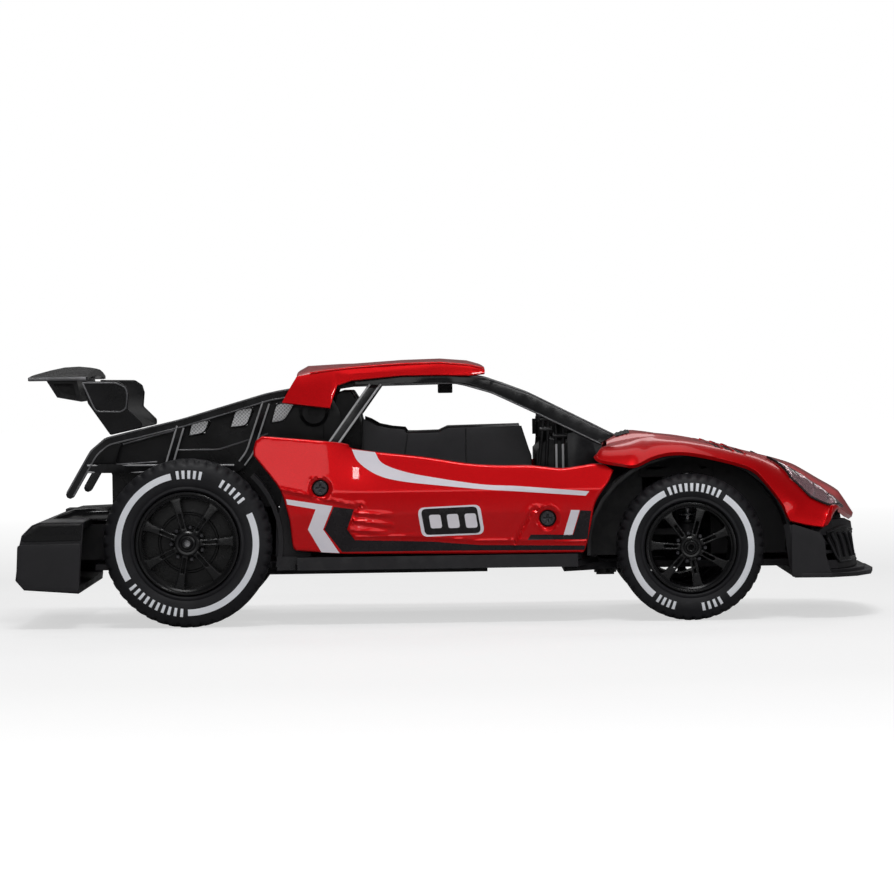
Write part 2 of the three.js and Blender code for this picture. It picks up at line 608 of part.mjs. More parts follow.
function electronicsCover() {
  const outside = [[-18, 50], [-18, 82.5], [-4, 82.8], [0, 84.6], [32, 85], [37, 72], [37, 50]];
  const inside = [[-16, 48], [-16, 80.5], [-4, 80.8], [0, 82.6], [30.5, 83], [35, 71.5], [35, 48]];
  return cut(sideways(outside, -44, 44), sideways(inside, -42, 42));
}
add("electronics_cover", electronicsCover(), MATTE);

// The dash block with the two pairs of upright tubes beside it.
function dashboard() {
  const block = sideways([[39, 62], [39, 74], [44, 79.5], [57, 76.8], [57.5, 62]], -56, 56);
  const uprights = [-1, 1].flatMap((s) => [
    join(rod("z", 2, 62, 89, 50, s * 52, 10), rod("z", 2.9, 80, 86, 50, s * 52, 10)),
    join(rod("z", 1.8, 62, 88, 42, s * 46, 10), rod("z", 2.8, 80, 87, 41.5, s * 46, 10)),
  ]);
  return join(block, ...uprights);
}
add("dashboard", dashboard(), BLACK);

// ---------------------------------------------------------------- power

add("battery_pack", box(-42, 12, -18, 18, 27.2, 45), CELL);

// The door hangs in the rails under the floor and slides back; three ribs give a fingertip grip.
function batteryDoor() {
  const plate = box(BATTERY_BAY.x0 - 1, BATTERY_BAY.x1 + 0.3, -19.5, 19.5, 21.8, DOOR_TOP);
  const ribs = [2, 6, 10].map((x) => box(x, x + 1.6, -9, 9, 20.6, 22));
  return join(plate, ...ribs);
}
add("battery_door", batteryDoor(), MATTE);

// The knob stands through its slot, held from inside by a wider shoe.
function powerSwitch() {
  const inside = FLOOR_Z + FLOOR_T;
  const knob = box(SWITCH_X - 4.2, SWITCH_X - 0.4, SWITCH_Y - 1.8, SWITCH_Y + 1.8, FLOOR_Z - 1.2, inside + 0.5);
  const shoe = box(SWITCH_X - 6, SWITCH_X + 1.4, SWITCH_Y - 5, SWITCH_Y + 5, inside + 0.3, inside + 2);
  return join(knob, shoe);
}
add("power_switch", powerSwitch(), BLACK);

function circuitBoard() {
  const board = box(-14, 33, -28, 28, 52, 53.6);
  const chips = [[-4, -10, 9, 12], [16, 6, 12, 9], [8, -18, 8, 6]].map(([x, y, w, d]) =>
    box(x - w / 2, x + w / 2, y - d / 2, y + d / 2, 53.4, 56.5));
  return join(board, ...chips);
}
add("circuit_board", circuitBoard(), BOARD);

// ---------------------------------------------------------------- rear drive

const MOTOR = {
  x: REAR_X + MESH_DISTANCE * Math.cos(MESH_ANGLE),
  z: REAR.radius + MESH_DISTANCE * Math.sin(MESH_ANGLE),
};

// A spur gear's outline about the origin: thinned teeth with straight flanks, so that a pair runs with backlash.
function gearOutline({ teeth, module }, firstTooth) {
  const pitch = (teeth * module) / 2;
  const step = (2 * Math.PI) / teeth;
  const flank = [
    [pitch - 1.15 * module, 0.33], [pitch, 0.2], [pitch + 0.85 * module, 0.08],
  ]; // radius, and half the tooth's thickness as a share of the step
  const points = [];
  for (let i = 0; i < teeth; i++) {
    const middle = firstTooth + i * step;
    const at = (r, share) => [r * Math.cos(middle + share * step), r * Math.sin(middle + share * step)];
    points.push(...flank.map(([r, s]) => at(r, -s)), ...flank.reverse().map(([r, s]) => at(r, s)));
    flank.reverse();
  }
  return points;
}

function gear(spec, firstTooth, x, z) {
  const outline = gearOutline(spec, firstTooth).map(([a, b]) => [a + x, b + z]);
  return sideways(outline, spec.y, spec.y + spec.width);
}

function driveGear() {
  const wheel = gear(GEAR, MESH_ANGLE, REAR_X, REAR.radius);
  const hub = rod("y", 4.5, GEAR.y - 1.5, GEAR.y + GEAR.width + 1.5, REAR_X, REAR.radius);
  const bore = rod("y", AXLE_R + GAP, 0, 40, REAR_X, REAR.radius);
  return cut(join(wheel, hub), bore);
}
add("drive_gear", driveGear(), NYLON);

function motorPinion() {
  const halfTooth = Math.PI / PINION.teeth;
  const wheel = gear(PINION, MESH_ANGLE + Math.PI + halfTooth, MOTOR.x, MOTOR.z);
  return join(wheel, rod("y", 1, 6, PINION.y + 1, MOTOR.x, MOTOR.z, 10));
}
add("motor_pinion", motorPinion(), STEEL);

function motorCan() {
  const can = rod("y", 12.2, -22, 6.9, MOTOR.x, MOTOR.z, 24);
  const nose = rod("y", 4, 6.5, 8.1, MOTOR.x, MOTOR.z, 16);
  const shaftHole = rod("y", 1.4, 5, 9, MOTOR.x, MOTOR.z, 10);
  return cut(join(can, nose), shaftHole);
}
add("motor_can", motorCan(), STEEL);

const BUSH_Y = 30; // the axle bushes' middle
const BUSH_OUTER_R = 3.8;

function gearboxCase() {
  const plateOutline = [[-126, 27], [-82, 27], [-82, 50], [-90, 58], [-106, 58], [-120, 50], [-126, 42]];
  const plate = (y0, y1) => sideways(plateOutline, y0, y1);
  const floor = box(-126, -82, -32, 32, 26.8, 29);
  const seatHole = rod("y", BUSH_OUTER_R + GAP, -40, 40, REAR_X, REAR.radius);
  const shaftWay = rod("y", 4.4, 7, 12, MOTOR.x, MOTOR.z);
  const middlePlate = sideways([[-108, 27], [-82, 27], [-82, 50], [-90, 56], [-108, 56]], 7.4, 9.6);
  const gearRoom = rod("y", 17.6, -27.5, 27.5, REAR_X, REAR.radius, 24);
  const body = join(plate(-32, -28), plate(28, 32), floor, middlePlate);
  return cut(body, seatHole, shaftWay, gearRoom);
}
add("gearbox_case", gearboxCase(), MATTE);

function axleBush() {
  const sleeve = rod("y", BUSH_OUTER_R, -32, -28, REAR_X, REAR.radius);
  const flange = rod("y", 5.4, -33.4, -32.2, REAR_X, REAR.radius);
  const neck = rod("y", BUSH_OUTER_R, -33, -31, REAR_X, REAR.radius);
  return cut(join(sleeve, neck, flange), rod("y", AXLE_R + GAP, -40, -20, REAR_X, REAR.radius));
}
addPair("axle_bush", axleBush(), STEEL);

add("rear_axle", rod("y", AXLE_R, -76, 76, REAR_X, REAR.radius), STEEL);

// ---------------------------------------------------------------- wheels

// Everything is turned about the wheel's axle; depths run inwards from the wheel's outer face.
function rim(wheel) {
  const { x, radius: z, rim: r, width } = wheel;
  const y = (depth) => depth - OUTER_FACE;
  const barrel = turned(
    [
      [r, y(0.6)], [r, y(width - 0.6)], [r - 1.6, y(width - 0.6)], [r - 2.6, y(8)], [r - 1.3, y(0.6)],
    ], x, z, 28);
  const hub = rod("y", 5.6, y(2.2), y(15), x, z, 14);
  const spokeLength = r - 2.2;
  const spokes = Array.from({ length: SPOKES }, (_, i) => {
    const angle = wheel.firstSpoke + (i * 2 * Math.PI) / SPOKES;
    const spoke = new THREE.BoxGeometry(spokeLength, 3.4, 3.1).translate(spokeLength / 2, 0, 0);
    return solid(spoke.rotateY(-angle).translate(x, y(5.2), z));
  });
  const bore = rod("y", AXLE_R + GAP, y(8), y(40), x, z);
  const solidRim = join(barrel, hub, ...spokes);
  return cut(wheel.dish ? join(solidRim, rod("y", r - 1, y(17), y(19), x, z, 28)) : solidRim, bore);
}

function tyre({ x, radius: z, rim: r, width }, segments) {
  const y = (depth) => depth - OUTER_FACE;
  const inner = r + GAP;
  const profile = [
    [inner, y(1)], [r + 5, y(0)], [z - 4, y(0.8)], [z, y(4)],
    [z, y(width - 4)], [z - 4, y(width - 0.8)], [r + 5, y(width)], [inner, y(width - 1)],
  ];
  return turned(profile, x, z, segments);
}

addPair("rear_rim", rim(REAR), BLACK);
addPair("rear_tyre", tyre(REAR, 40), RUBBER);
addPair("front_rim", rim(FRONT), BLACK);
addPair("front_tyre", tyre(FRONT, 40), RUBBER);

// ---------------------------------------------------------------- front suspension and steering

const ARM_TOP_Z = 61.5;
const ARM_LOW_Z = 24.9;
const ARM_T = 2.6;
const KNUCKLE = { bottom: 28.4, top: 41.4, radius: 4.3 };
const SEAT_TOP = 43;

function frontSubframe() {
  const plan = (y) => [[97, -y], [101, -(y + 2)], [109, -(y + 2)], [113, -y]];
  const arm = (z0, z1) => upward(bothSides([[97, -24], [101, -KINGPIN_Y - 4], [109, -KINGPIN_Y - 4], [113, -24]]), z0, z1);
  const tower = upward(bothSides(plan(22)), ARM_LOW_Z, ARM_TOP_Z);
  const window = box(90, 120, -16, 16, 32, 54);
  const pins = [-1, 1].map((s) => rod("z", 1.5 + GAP, 20, 70, FRONT_X, s * KINGPIN_Y));
  return cut(join(arm(ARM_LOW_Z, ARM_LOW_Z + ARM_T), arm(ARM_TOP_Z - 3, ARM_TOP_Z), tower), window, ...pins);
}
add("front_subframe", frontSubframe(), MATTE);

function kingpin() {
  const pin = rod("z", 1.5, ARM_LOW_Z - 0.6, ARM_TOP_Z + 0.5, FRONT_X, -KINGPIN_Y, 12);
  const head = rod("z", 2.8, ARM_TOP_Z + 0.4, ARM_TOP_Z + 2, FRONT_X, -KINGPIN_Y, 12);
  return join(pin, head);
}
addPair("kingpin", kingpin(), STEEL);

// The flanged sleeve that slides on the kingpin: the knuckle turns on it and the spring stands on it.
function springSeat() {
  const sleeve = rod("z", 2.6, KNUCKLE.bottom - 0.5, SEAT_TOP - 1, FRONT_X, -KINGPIN_Y);
  const flange = rod("z", 4.6, KNUCKLE.top + GAP, SEAT_TOP, FRONT_X, -KINGPIN_Y);
  const foot = rod("z", 3.6, KNUCKLE.bottom - 0.5 - 0.1, KNUCKLE.bottom - GAP, FRONT_X, -KINGPIN_Y);
  return cut(join(sleeve, flange, foot), rod("z", 1.5 + GAP, 20, 70, FRONT_X, -KINGPIN_Y, 12));
}
addPair("spring_seat", springSeat(), NYLON);

function frontSpring() {
  const turns = 4.5;
  const bottom = SEAT_TOP + 0.9;
  const top = ARM_TOP_Z - 3 - 0.9;
  class Helix extends THREE.Curve {
    getPoint(t, target = new THREE.Vector3()) {
      const angle = t * turns * 2 * Math.PI;
      const y = -KINGPIN_Y + 3.7 * Math.sin(angle);
      return target.set(FRONT_X + 3.7 * Math.cos(angle), y, bottom + (top - bottom) * t);
    }
  }
  const section = new THREE.Shape().absarc(0, 0, 0.55, 0, Math.PI * 2);
  const wire = new THREE.ExtrudeGeometry(section, {
    steps: turns * 10, curveSegments: 3, extrudePath: new Helix(), bevelEnabled: false,
  });
  return solid(wire);
}
addPair("front_spring", frontSpring(), STEEL);

function knuckle() {
  const z = FRONT.radius;
  const barrel = rod("z", KNUCKLE.radius, KNUCKLE.bottom, KNUCKLE.top, FRONT_X, -KINGPIN_Y);
  const flange = rod("y", 3.1, -(KINGPIN_Y + 5.5), -KINGPIN_Y, FRONT_X, z);
  const stub = rod("y", AXLE_R, 8.3 - OUTER_FACE, -KINGPIN_Y, FRONT_X, z);
  const armX = FRONT_X - STEER_ARM;
  const arm = box(armX - 2.5, FRONT_X - 2.9, -(KINGPIN_Y + 2), 2 - KINGPIN_Y, 36.5, 39.3);
  const pin = rod("z", 1.2, 38, 48.2, armX, -KINGPIN_Y, 10);
  const bore = rod("z", 2.6 + GAP, 20, 60, FRONT_X, -KINGPIN_Y);
  return cut(join(barrel, flange, stub, arm, pin), bore);
}
addPair("knuckle", knuckle(), MATTE);

// A flat bar with a slot at each end for the knuckles' pins and one in the middle for the servo horn's.
function tieRod() {
  const x = FRONT_X - STEER_ARM;
  const end = KINGPIN_Y + 2.8;
  const bar = box(x - 3, x + 3, -end, end, ROD_Z, ROD_Z + 2.4);
  const pads = [-KINGPIN_Y, 0, KINGPIN_Y].map((y) => box(x - 4.3, x + 4.3, y - 2.8, y + 2.8, ROD_Z, ROD_Z + 2.4));
  const slots = [-KINGPIN_Y, 0, KINGPIN_Y].map((y) => box(x - 3, x + 3, y - 1.6, y + 1.6, ROD_Z - 1, ROD_Z + 4));
  return cut(join(bar, ...pads), ...slots);
}
add("tie_rod", tieRod(), MATTE);

const SERVO_X = FRONT_X - 2 * STEER_ARM;
const SERVO_TOP = 41;

function servoCase() {
  const body = box(64.5, 86, -11, 11, 26.8, SERVO_TOP);
  const ears = box(68, 82, -16, 16, 34, 36);
  return join(body, ears);
}
add("servo_case", servoCase(), BLACK);

function servoHorn() {
  const x = SERVO_X + STEER_ARM;
  const hub = rod("z", 3.4, SERVO_TOP + GAP, ROD_Z + 5.2, SERVO_X, 0);
  const arm = box(SERVO_X, x + 2, -2, 2, ROD_Z + 2.9, ROD_Z + 5);
  const pin = rod("z", 1.2, ROD_Z - 0.5, ROD_Z + 4, x, 0, 10);
  return join(hub, arm, pin);
}
add("servo_horn", servoHorn(), NYLON);

// A steering trim knob under the belly, with a pointer rib.
function trimDial() {
  const disc = rod("z", 5, 18.2, 20.2, TRIM_X, 0, 20);
  const shaft = rod("z", 2.2, 19, 26, TRIM_X, 0, 12);
  const rib = box(TRIM_X - 4, TRIM_X + 4, -0.8, 0.8, 17.2, 18.6);
  return join(disc, shaft, rib);
}
add("trim_dial", trimDial(), BLACK);

export default car;
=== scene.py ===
"""The looks of a 1:12 radio-controlled drift car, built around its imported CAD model.

Blender works in metres, but shapes are given in millimetres in the same frame: +X forward, +Y the car's
left, +Z up, with the origin on the ground under the middle of the car.
"""

import json
import math

import bmesh
import bpy
import numpy as np
from mathutils import Matrix, Vector, geometry

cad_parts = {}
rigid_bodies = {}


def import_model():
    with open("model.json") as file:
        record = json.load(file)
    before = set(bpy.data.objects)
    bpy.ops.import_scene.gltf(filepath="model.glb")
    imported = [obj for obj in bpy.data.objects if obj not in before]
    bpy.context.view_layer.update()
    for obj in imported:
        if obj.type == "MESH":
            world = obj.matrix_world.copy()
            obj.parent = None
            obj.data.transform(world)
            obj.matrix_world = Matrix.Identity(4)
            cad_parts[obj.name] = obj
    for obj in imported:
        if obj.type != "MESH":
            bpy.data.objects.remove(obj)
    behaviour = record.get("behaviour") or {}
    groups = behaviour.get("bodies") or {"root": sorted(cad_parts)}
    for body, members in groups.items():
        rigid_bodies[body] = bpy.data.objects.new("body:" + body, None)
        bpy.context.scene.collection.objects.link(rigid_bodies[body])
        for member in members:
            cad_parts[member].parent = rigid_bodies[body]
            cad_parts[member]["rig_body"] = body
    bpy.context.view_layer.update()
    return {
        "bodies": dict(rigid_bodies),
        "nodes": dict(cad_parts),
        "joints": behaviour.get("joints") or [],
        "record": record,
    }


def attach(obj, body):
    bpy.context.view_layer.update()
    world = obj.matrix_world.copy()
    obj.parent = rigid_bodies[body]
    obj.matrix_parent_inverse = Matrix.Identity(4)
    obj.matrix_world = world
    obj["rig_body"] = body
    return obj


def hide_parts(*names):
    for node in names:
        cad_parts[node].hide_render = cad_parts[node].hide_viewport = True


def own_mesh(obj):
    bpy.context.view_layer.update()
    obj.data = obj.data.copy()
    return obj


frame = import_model()
NODES = frame["nodes"]
MM = 0.001
SIDES = (("right", -1), ("left", 1))

scene = bpy.context.scene
scene.view_settings.view_transform = "Standard"
scene.view_settings.look = "None"


# ---------------------------------------------------------------- camera, light and stage

def aim(obj, target):
    obj.rotation_euler = (Vector(target) - obj.location).to_track_quat("-Z", "Y").to_euler()


def place_camera():
    data = bpy.data.cameras.new("camera")
    data.lens = 213.9
    data.sensor_width = 36
    data.clip_end = 50
    camera = bpy.data.objects.new("camera", data)
    scene.collection.objects.link(camera)
    pitch = math.radians(90 - 1.014)
    yaw = math.radians(0.015)
    roll = math.radians(-0.852)
    turn = Matrix.Rotation(yaw, 4, "Z") @ Matrix.Rotation(pitch, 4, "X") @ Matrix.Rotation(roll, 4, "Z")
    camera.matrix_world = Matrix.Translation((0.0004, -2.385, 0.1176)) @ turn
    scene.camera = camera


def area_light(name, location, target, size, power):
    data = bpy.data.lights.new(name, "AREA")
    data.shape = "RECTANGLE"
    data.size, data.size_y = size
    data.energy = power
    light = bpy.data.objects.new(name, data)
    scene.collection.objects.link(light)
    light.location = location
    aim(light, target)


def make_lights():
    """Soft studio light; the backdrop is white to the camera and dim in reflections."""
    area_light("top_softbox", (-0.1, 0.25, 0.95), (0, 0, 0), (0.9, 0.45), 1.2)
    area_light("front_softbox", (0.0, -0.62, 1.42), (-0.02, 0, 0.05), (0.55, 0.3), 9)
    area_light("fill_softbox", (0.1, -1.9, 0.55), (0, 0, 0.05), (1.8, 0.6), 7)
    area_light("small_softbox", (0.26, -1.36, 0.98), (-0.03, -0.08, 0.07), (0.14, 0.07), 1.1)
    area_light("right_softbox", (1.2, -0.9, 0.35), (0.08, 0, 0.05), (0.25, 0.5), 1.2)
    area_light("rim_strip", (0.1, 1.1, 0.7), (0, 0, 0.1), (1.6, 0.2), 1.6)
    world = bpy.data.worlds.new("studio")
    world.use_nodes = True
    tree = world.node_tree
    background = tree.nodes["Background"]
    background.inputs["Color"].default_value = (1, 1, 1, 1)
    seen = tree.nodes.new("ShaderNodeLightPath").outputs["Is Camera Ray"]
    strength = tree.nodes.new("ShaderNodeMapRange")
    strength.inputs["To Min"].default_value = 0.09
    strength.inputs["To Max"].default_value = 1.0
    tree.links.new(seen, strength.inputs["Value"])
    tree.links.new(strength.outputs["Result"], background.inputs["Strength"])
    scene.world = world


# ---------------------------------------------------------------- materials

class Nodes:
    """A short way to wire up one material."""

    def __init__(self, name):
        self.material = bpy.data.materials.new(name)
        self.material.use_nodes = True
        self.tree = self.material.node_tree
        self.shader = self.tree.nodes["Principled BSDF"]
        self.coords = self.add("TexCoord").outputs["Object"]

    def add(self, kind, **settings):
        node = self.tree.nodes.new("ShaderNode" + kind)
        for key, value in settings.items():
            setattr(node, key, value)
        return node

    def link(self, source, target):
        self.tree.links.new(source, target)

    def set(self, **values):
        for key, value in values.items():
            self.shader.inputs[key.replace("_", " ")].default_value = value

    def noise(self, scale, detail=4, roughness=0.55, stretch=None):
        node = self.add("TexNoise")
        node.inputs["Scale"].default_value = scale
        node.inputs["Detail"].default_value = detail
        node.inputs["Roughness"].default_value = roughness
        if stretch:
            mapping = self.add("Mapping")
            mapping.inputs["Scale"].default_value = stretch
            self.link(self.coords, mapping.inputs["Vector"])
            self.link(mapping.outputs["Vector"], node.inputs["Vector"])
        else:
            self.link(self.coords, node.inputs["Vector"])
        return node.outputs["Fac"]

    def span(self, value, low, high, start=0.35, end=0.65):
        node = self.add("MapRange")
        self.link(value, node.inputs["Value"])
        node.inputs["From Min"].default_value = start
        node.inputs["From Max"].default_value = end
        node.inputs["To Min"].default_value = low
        node.inputs["To Max"].default_value = high
        return node.outputs["Result"]

    def blend(self, factor, a, b):
        node = self.add("Mix", data_type="RGBA")
        self.link(factor, node.inputs["Factor"])
        for socket, value in ((node.inputs[6], a), (node.inputs[7], b)):
            if isinstance(value, tuple):
                socket.default_value = (*value, 1)
            else:
                self.link(value, socket)
        return node.outputs[2]

    def bump(self, height, strength, distance):
        node = self.add("Bump")
        node.inputs["Strength"].default_value = strength
        node.inputs["Distance"].default_value = distance
        self.link(height, node.inputs["Height"])
        self.link(node.outputs["Normal"], self.shader.inputs["Normal"])

    def product(self, a, b):
        node = self.add("Math", operation="MULTIPLY")
        self.link(a, node.inputs[0])
        self.link(b, node.inputs[1])
        return node.outputs[0]

    def surface(self, color, roughness):
        self.link(color, self.shader.inputs["Base Color"])
        self.link(roughness, self.shader.inputs["Roughness"])


def edge_wear(n, color, worn):
    """Lightens the most exposed edges, broken up by a noise."""
    exposed = n.span(n.add("NewGeometry").outputs["Pointiness"], 0, 0.35, 0.52, 0.6)
    patchy = n.span(n.noise(160, 5), 0, 1, 0.4, 0.62)
    return n.blend(n.product(exposed, patchy), color, worn)


def plastic(name, base, alt, rough, grain, depth, worn, specular=0.5):
    """Moulded plastic: a fine grain, faint cloudy colour changes and rubbed edges."""
    n = Nodes(name)
    color = n.blend(n.span(n.noise(28, 3), 0, 1), base, alt)
    fine = n.noise(grain, 5, 0.7)
    smudge = n.noise(55, 5, 0.6)
    n.surface(edge_wear(n, color, worn), n.span(n.product(fine, smudge), *rough, 0.12, 0.42))
    n.bump(fine, 0.35, depth)
    n.set(Specular_IOR_Level=specular)
    return n.material


def candy_paint():
    """Metallic red under clear lacquer, with tiny flakes and a faint orange peel."""
    n = Nodes("candy_red")
    color = n.blend(n.span(n.noise(9, 2), 0, 1), (0.54, 0.0010, 0.003), (0.62, 0.0014, 0.004))
    flakes = n.add("TexVoronoi")
    flakes.inputs["Scale"].default_value = 5200
    n.link(n.coords, flakes.inputs["Vector"])
    bright = n.span(flakes.outputs["Color"], 0, 1, 0.3, 1.0)
    n.surface(n.blend(bright, color, (0.74, 0.002, 0.006)), n.span(n.noise(30, 3), 0.29, 0.33))
    n.bump(n.noise(520, 2, 0.4), 0.08, 0.00006)
    n.set(Metallic=0.45, Specular_IOR_Level=0.1, Coat_Weight=0.6, Coat_Roughness=0.03, Coat_IOR=1.38)
    return n.material


def printed(name, base, alt, rough):
    """Pad-printed ink: slightly uneven and a little rougher than the lacquer."""
    n = Nodes(name)
    n.surface(n.blend(n.span(n.noise(90, 5), 0, 1), base, alt), n.span(n.noise(240, 4), *rough))
    n.bump(n.noise(900, 3), 0.12, 0.00003)
    n.set(Specular_IOR_Level=0.22)
    return n.material


def rubber():
    n = Nodes("rubber")
    dust = n.span(n.noise(38, 6, 0.7), 0, 1, 0.42, 0.72)
    color = n.blend(dust, (0.0075, 0.0075, 0.0095), (0.016, 0.016, 0.019))
    n.surface(edge_wear(n, color, (0.03, 0.03, 0.033)), n.span(n.noise(80, 5), 0.48, 0.66))
    n.bump(n.noise(1400, 4, 0.7), 0.4, 0.00012)
    n.set(Specular_IOR_Level=0.28)
    return n.material


def metal(name, base, alt, rough, stretch):
    """Turned or drawn metal with fine marks along one direction."""
    n = Nodes(name)
    marks = n.noise(900, 4, 0.6, stretch)
    n.surface(n.blend(n.span(n.noise(60, 5), 0, 1), base, alt), n.span(marks, *rough))
    n.bump(marks, 0.15, 0.00003)
    n.set(Metallic=1.0)
    return n.material


def clear_lens():
    n = Nodes("lens")
    tint = n.blend(n.span(n.noise(45, 4), 0, 1), (0.95, 0.72, 0.76), (0.9, 0.62, 0.68))
    n.surface(tint, n.span(n.noise(160, 4), 0.07, 0.11))
    n.bump(n.noise(60, 2), 0.015, 0.0001)
    n.set(Transmission_Weight=0.9, IOR=1.45, Coat_Weight=0.4)
    return n.material


def woven_mesh():
    """Perforated dark steel sheet in a fine diagonal pattern."""
    n = Nodes("steel_mesh")
    turned = n.add("Mapping")
    turned.inputs["Rotation"].default_value = (0, math.radians(45), 0)
    n.link(n.coords, turned.inputs["Vector"])
    cells = n.add("TexVoronoi", feature="DISTANCE_TO_EDGE")
    cells.inputs["Scale"].default_value = 900
    cells.inputs["Randomness"].default_value = 0.15
    n.link(turned.outputs["Vector"], cells.inputs["Vector"])
    wire = n.span(cells.outputs["Distance"], 1, 0, 0.08, 0.2)
    n.surface(n.blend(wire, (0.42, 0.42, 0.43), (0.85, 0.85, 0.87)), n.span(n.noise(200, 4), 0.3, 0.5))
    n.bump(wire, 0.5, 0.0003)
    n.set(Metallic=0.2)
    return n.material


def pale_floor():
    """Pale and matt, and brighter to the camera than in reflections, more so farther from the car."""
    n = Nodes("floor")
    color = n.blend(n.span(n.noise(3, 4), 0, 1), (0.42, 0.42, 0.42), (0.40, 0.40, 0.405))
    n.surface(color, n.span(n.noise(40, 4), 0.55, 0.7))
    n.bump(n.noise(400, 3), 0.05, 0.0001)
    away = n.add("VectorMath", operation="LENGTH")
    n.link(n.coords, away.inputs[0])
    glow = n.span(away.outputs["Value"], 0.6, 1.0, 0.5, 1.8)
    n.link(n.product(n.add("LightPath").outputs["Is Camera Ray"], glow), n.shader.inputs["Emission Strength"])
    n.set(Emission_Color=(1, 1, 1, 1))
    return n.material


# Two colours, roughness range, grain scale and depth, colour of the worn edges, specular level.
PLASTICS = {
    "gloss_black": ((0.0055, 0.0055, 0.006), (0.009, 0.009, 0.01), (0.14, 0.26), 900, 0.00002,
                    (0.03, 0.03, 0.032), 0.26),
    "rim_black": ((0.005, 0.005, 0.0055), (0.008, 0.008, 0.009), (0.2, 0.32), 800, 0.00002,
                  (0.016, 0.016, 0.017), 0.32),
    "matte_black": ((0.014, 0.0135, 0.0155), (0.019, 0.018, 0.021), (0.42, 0.62), 1500, 0.0001,
                    (0.05, 0.05, 0.052), 0.26),
    "nylon": ((0.62, 0.61, 0.55), (0.56, 0.55, 0.49), (0.35, 0.55), 700, 0.00005, (0.75, 0.74, 0.68)),
    "circuit": ((0.01, 0.09, 0.03), (0.014, 0.12, 0.04), (0.3, 0.5), 600, 0.00004, (0.05, 0.2, 0.08)),
    "cell_wrap": ((0.015, 0.07, 0.30), (0.02, 0.09, 0.36), (0.15, 0.3), 300, 0.00004, (0.1, 0.2, 0.5)),
    # Painted highlight: a light grey for beads that stand in for the bright lines the lamps make on gloss black
    # edges.
    "painted_highlight": ((0.30, 0.30, 0.31), (0.42, 0.42, 0.43), (0.1, 0.2), 500, 0.00002, (0.6, 0.6, 0.62)),
    "grey_plastic": ((0.075, 0.075, 0.077), (0.10, 0.10, 0.103), (0.4, 0.6), 1300, 0.0001, (0.2, 0.2, 0.2)),
    "smoke": ((0.05, 0.05, 0.052), (0.075, 0.075, 0.078), (0.1, 0.2), 500, 0.00002, (0.2, 0.2, 0.21)),
    # Painted highlight, dimmer: a grey well above gloss black, for beads that stand in for faint edge
    # highlights.
    "painted_dim_highlight": ((0.055, 0.055, 0.06), (0.10, 0.10, 0.105), (0.12, 0.24), 500, 0.00002, (0.4, 0.4, 0.42)),
}
# Two colours, roughness range.
INKS = {
    "white_print": ((0.86, 0.82, 0.88), (0.80, 0.77, 0.84), (0.3, 0.42)),
    "black_print": ((0.010, 0.008, 0.010), (0.016, 0.013, 0.015), (0.2, 0.34)),
    "ring_white": ((0.90, 0.92, 0.96), (0.82, 0.84, 0.89), (0.45, 0.6)),
}
# Two colours, roughness range, stretch of the marks.
METALS = {
    "steel": ((0.52, 0.52, 0.54), (0.42, 0.42, 0.44), (0.2, 0.42), (1, 0.1, 1)),
    "dark_steel": ((0.07, 0.07, 0.075), (0.045, 0.045, 0.05), (0.2, 0.4), (1, 0.3, 1)),
    "lamp_bowl": ((0.75, 0.72, 0.73), (0.6, 0.55, 0.57), (0.12, 0.25), (1, 1, 1)),
}
MATERIALS = {"candy_red": candy_paint(), "rubber": rubber(), "lens": clear_lens(), "steel_mesh": woven_mesh()}
for make, table in ((plastic, PLASTICS), (printed, INKS), (metal, METALS)):
    MATERIALS.update({name: make(name, *values) for name, values in table.items()})


# ---------------------------------------------------------------- mesh helpers

def link_mesh(mesh):
    obj = bpy.data.objects.new(mesh.name, mesh)
    scene.collection.objects.link(obj)
    return obj


def new_object(verts, faces, material, smooth_angle=40):
    """A mesh from points in millimetres; it gets its name when it is adopted."""
    mesh = bpy.data.meshes.new("piece")
    mesh.from_pydata([Vector(v) * MM for v in verts], [], faces)
    mesh.validate()
    tidy = bmesh.new()
    tidy.from_mesh(mesh)
    bmesh.ops.remove_doubles(tidy, verts=tidy.verts, dist=1e-7)
    bmesh.ops.recalc_face_normals(tidy, faces=tidy.faces)
    tidy.to_mesh(mesh)
    tidy.free()
    mesh.materials.append(MATERIALS[material])
    mesh.shade_smooth()
    mesh.set_sharp_from_angle(angle=math.radians(smooth_angle))
    return link_mesh(mesh)


def add_bevel(obj, width, segments, angle):
    rounding = obj.modifiers.new("rounding", "BEVEL")
    rounding.width = width * MM
    rounding.segments = segments
    rounding.limit_method = "ANGLE"
    rounding.angle_limit = math.radians(angle)
    normals = obj.modifiers.new("normals", "WEIGHTED_NORMAL")
    normals.keep_sharp = True


def refined(node, material, bevel):
    """Stands for a CAD node: the same shape with rounded edges."""
    source = NODES[node]
    mesh = bpy.data.meshes.new("piece")
    work = bmesh.new()
    work.from_mesh(source.data)
    bmesh.ops.remove_doubles(work, verts=work.verts, dist=2e-6)
    bmesh.ops.dissolve_limit(work, angle_limit=math.radians(1.5), verts=work.verts, edges=work.edges)
    work.to_mesh(mesh)
    work.free()
    mesh.materials.clear()
    mesh.materials.append(MATERIALS[material])
    mesh.shade_smooth()
    mesh.set_sharp_from_angle(angle=math.radians(42))
    obj = link_mesh(mesh)
    add_bevel(obj, bevel, 3, 28)
    adopt(obj, node + "_look", source["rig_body"], node)


def adopt(obj, name, body, node=None):
    """Names a piece, ties it to its body and hides the CAD node that it replaces."""
    obj.name = obj.data.name = name
    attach(obj, body)
    if node:
        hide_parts(node)


def pair(name, build, body="chassis", node=""):
    """Builds the right-hand piece and its mirror image; {side} in a body or node takes the side."""
    made = []
    for side, sign in SIDES:
        obj = build()
        if sign > 0:
            obj.data.transform(Matrix.Scale(-1, 4, (0, 1, 0)))
            obj.data.flip_normals()
        adopt(obj, name + "_" + side, body.format(side=side), node.format(side=side))
        made.append(obj)
    return made


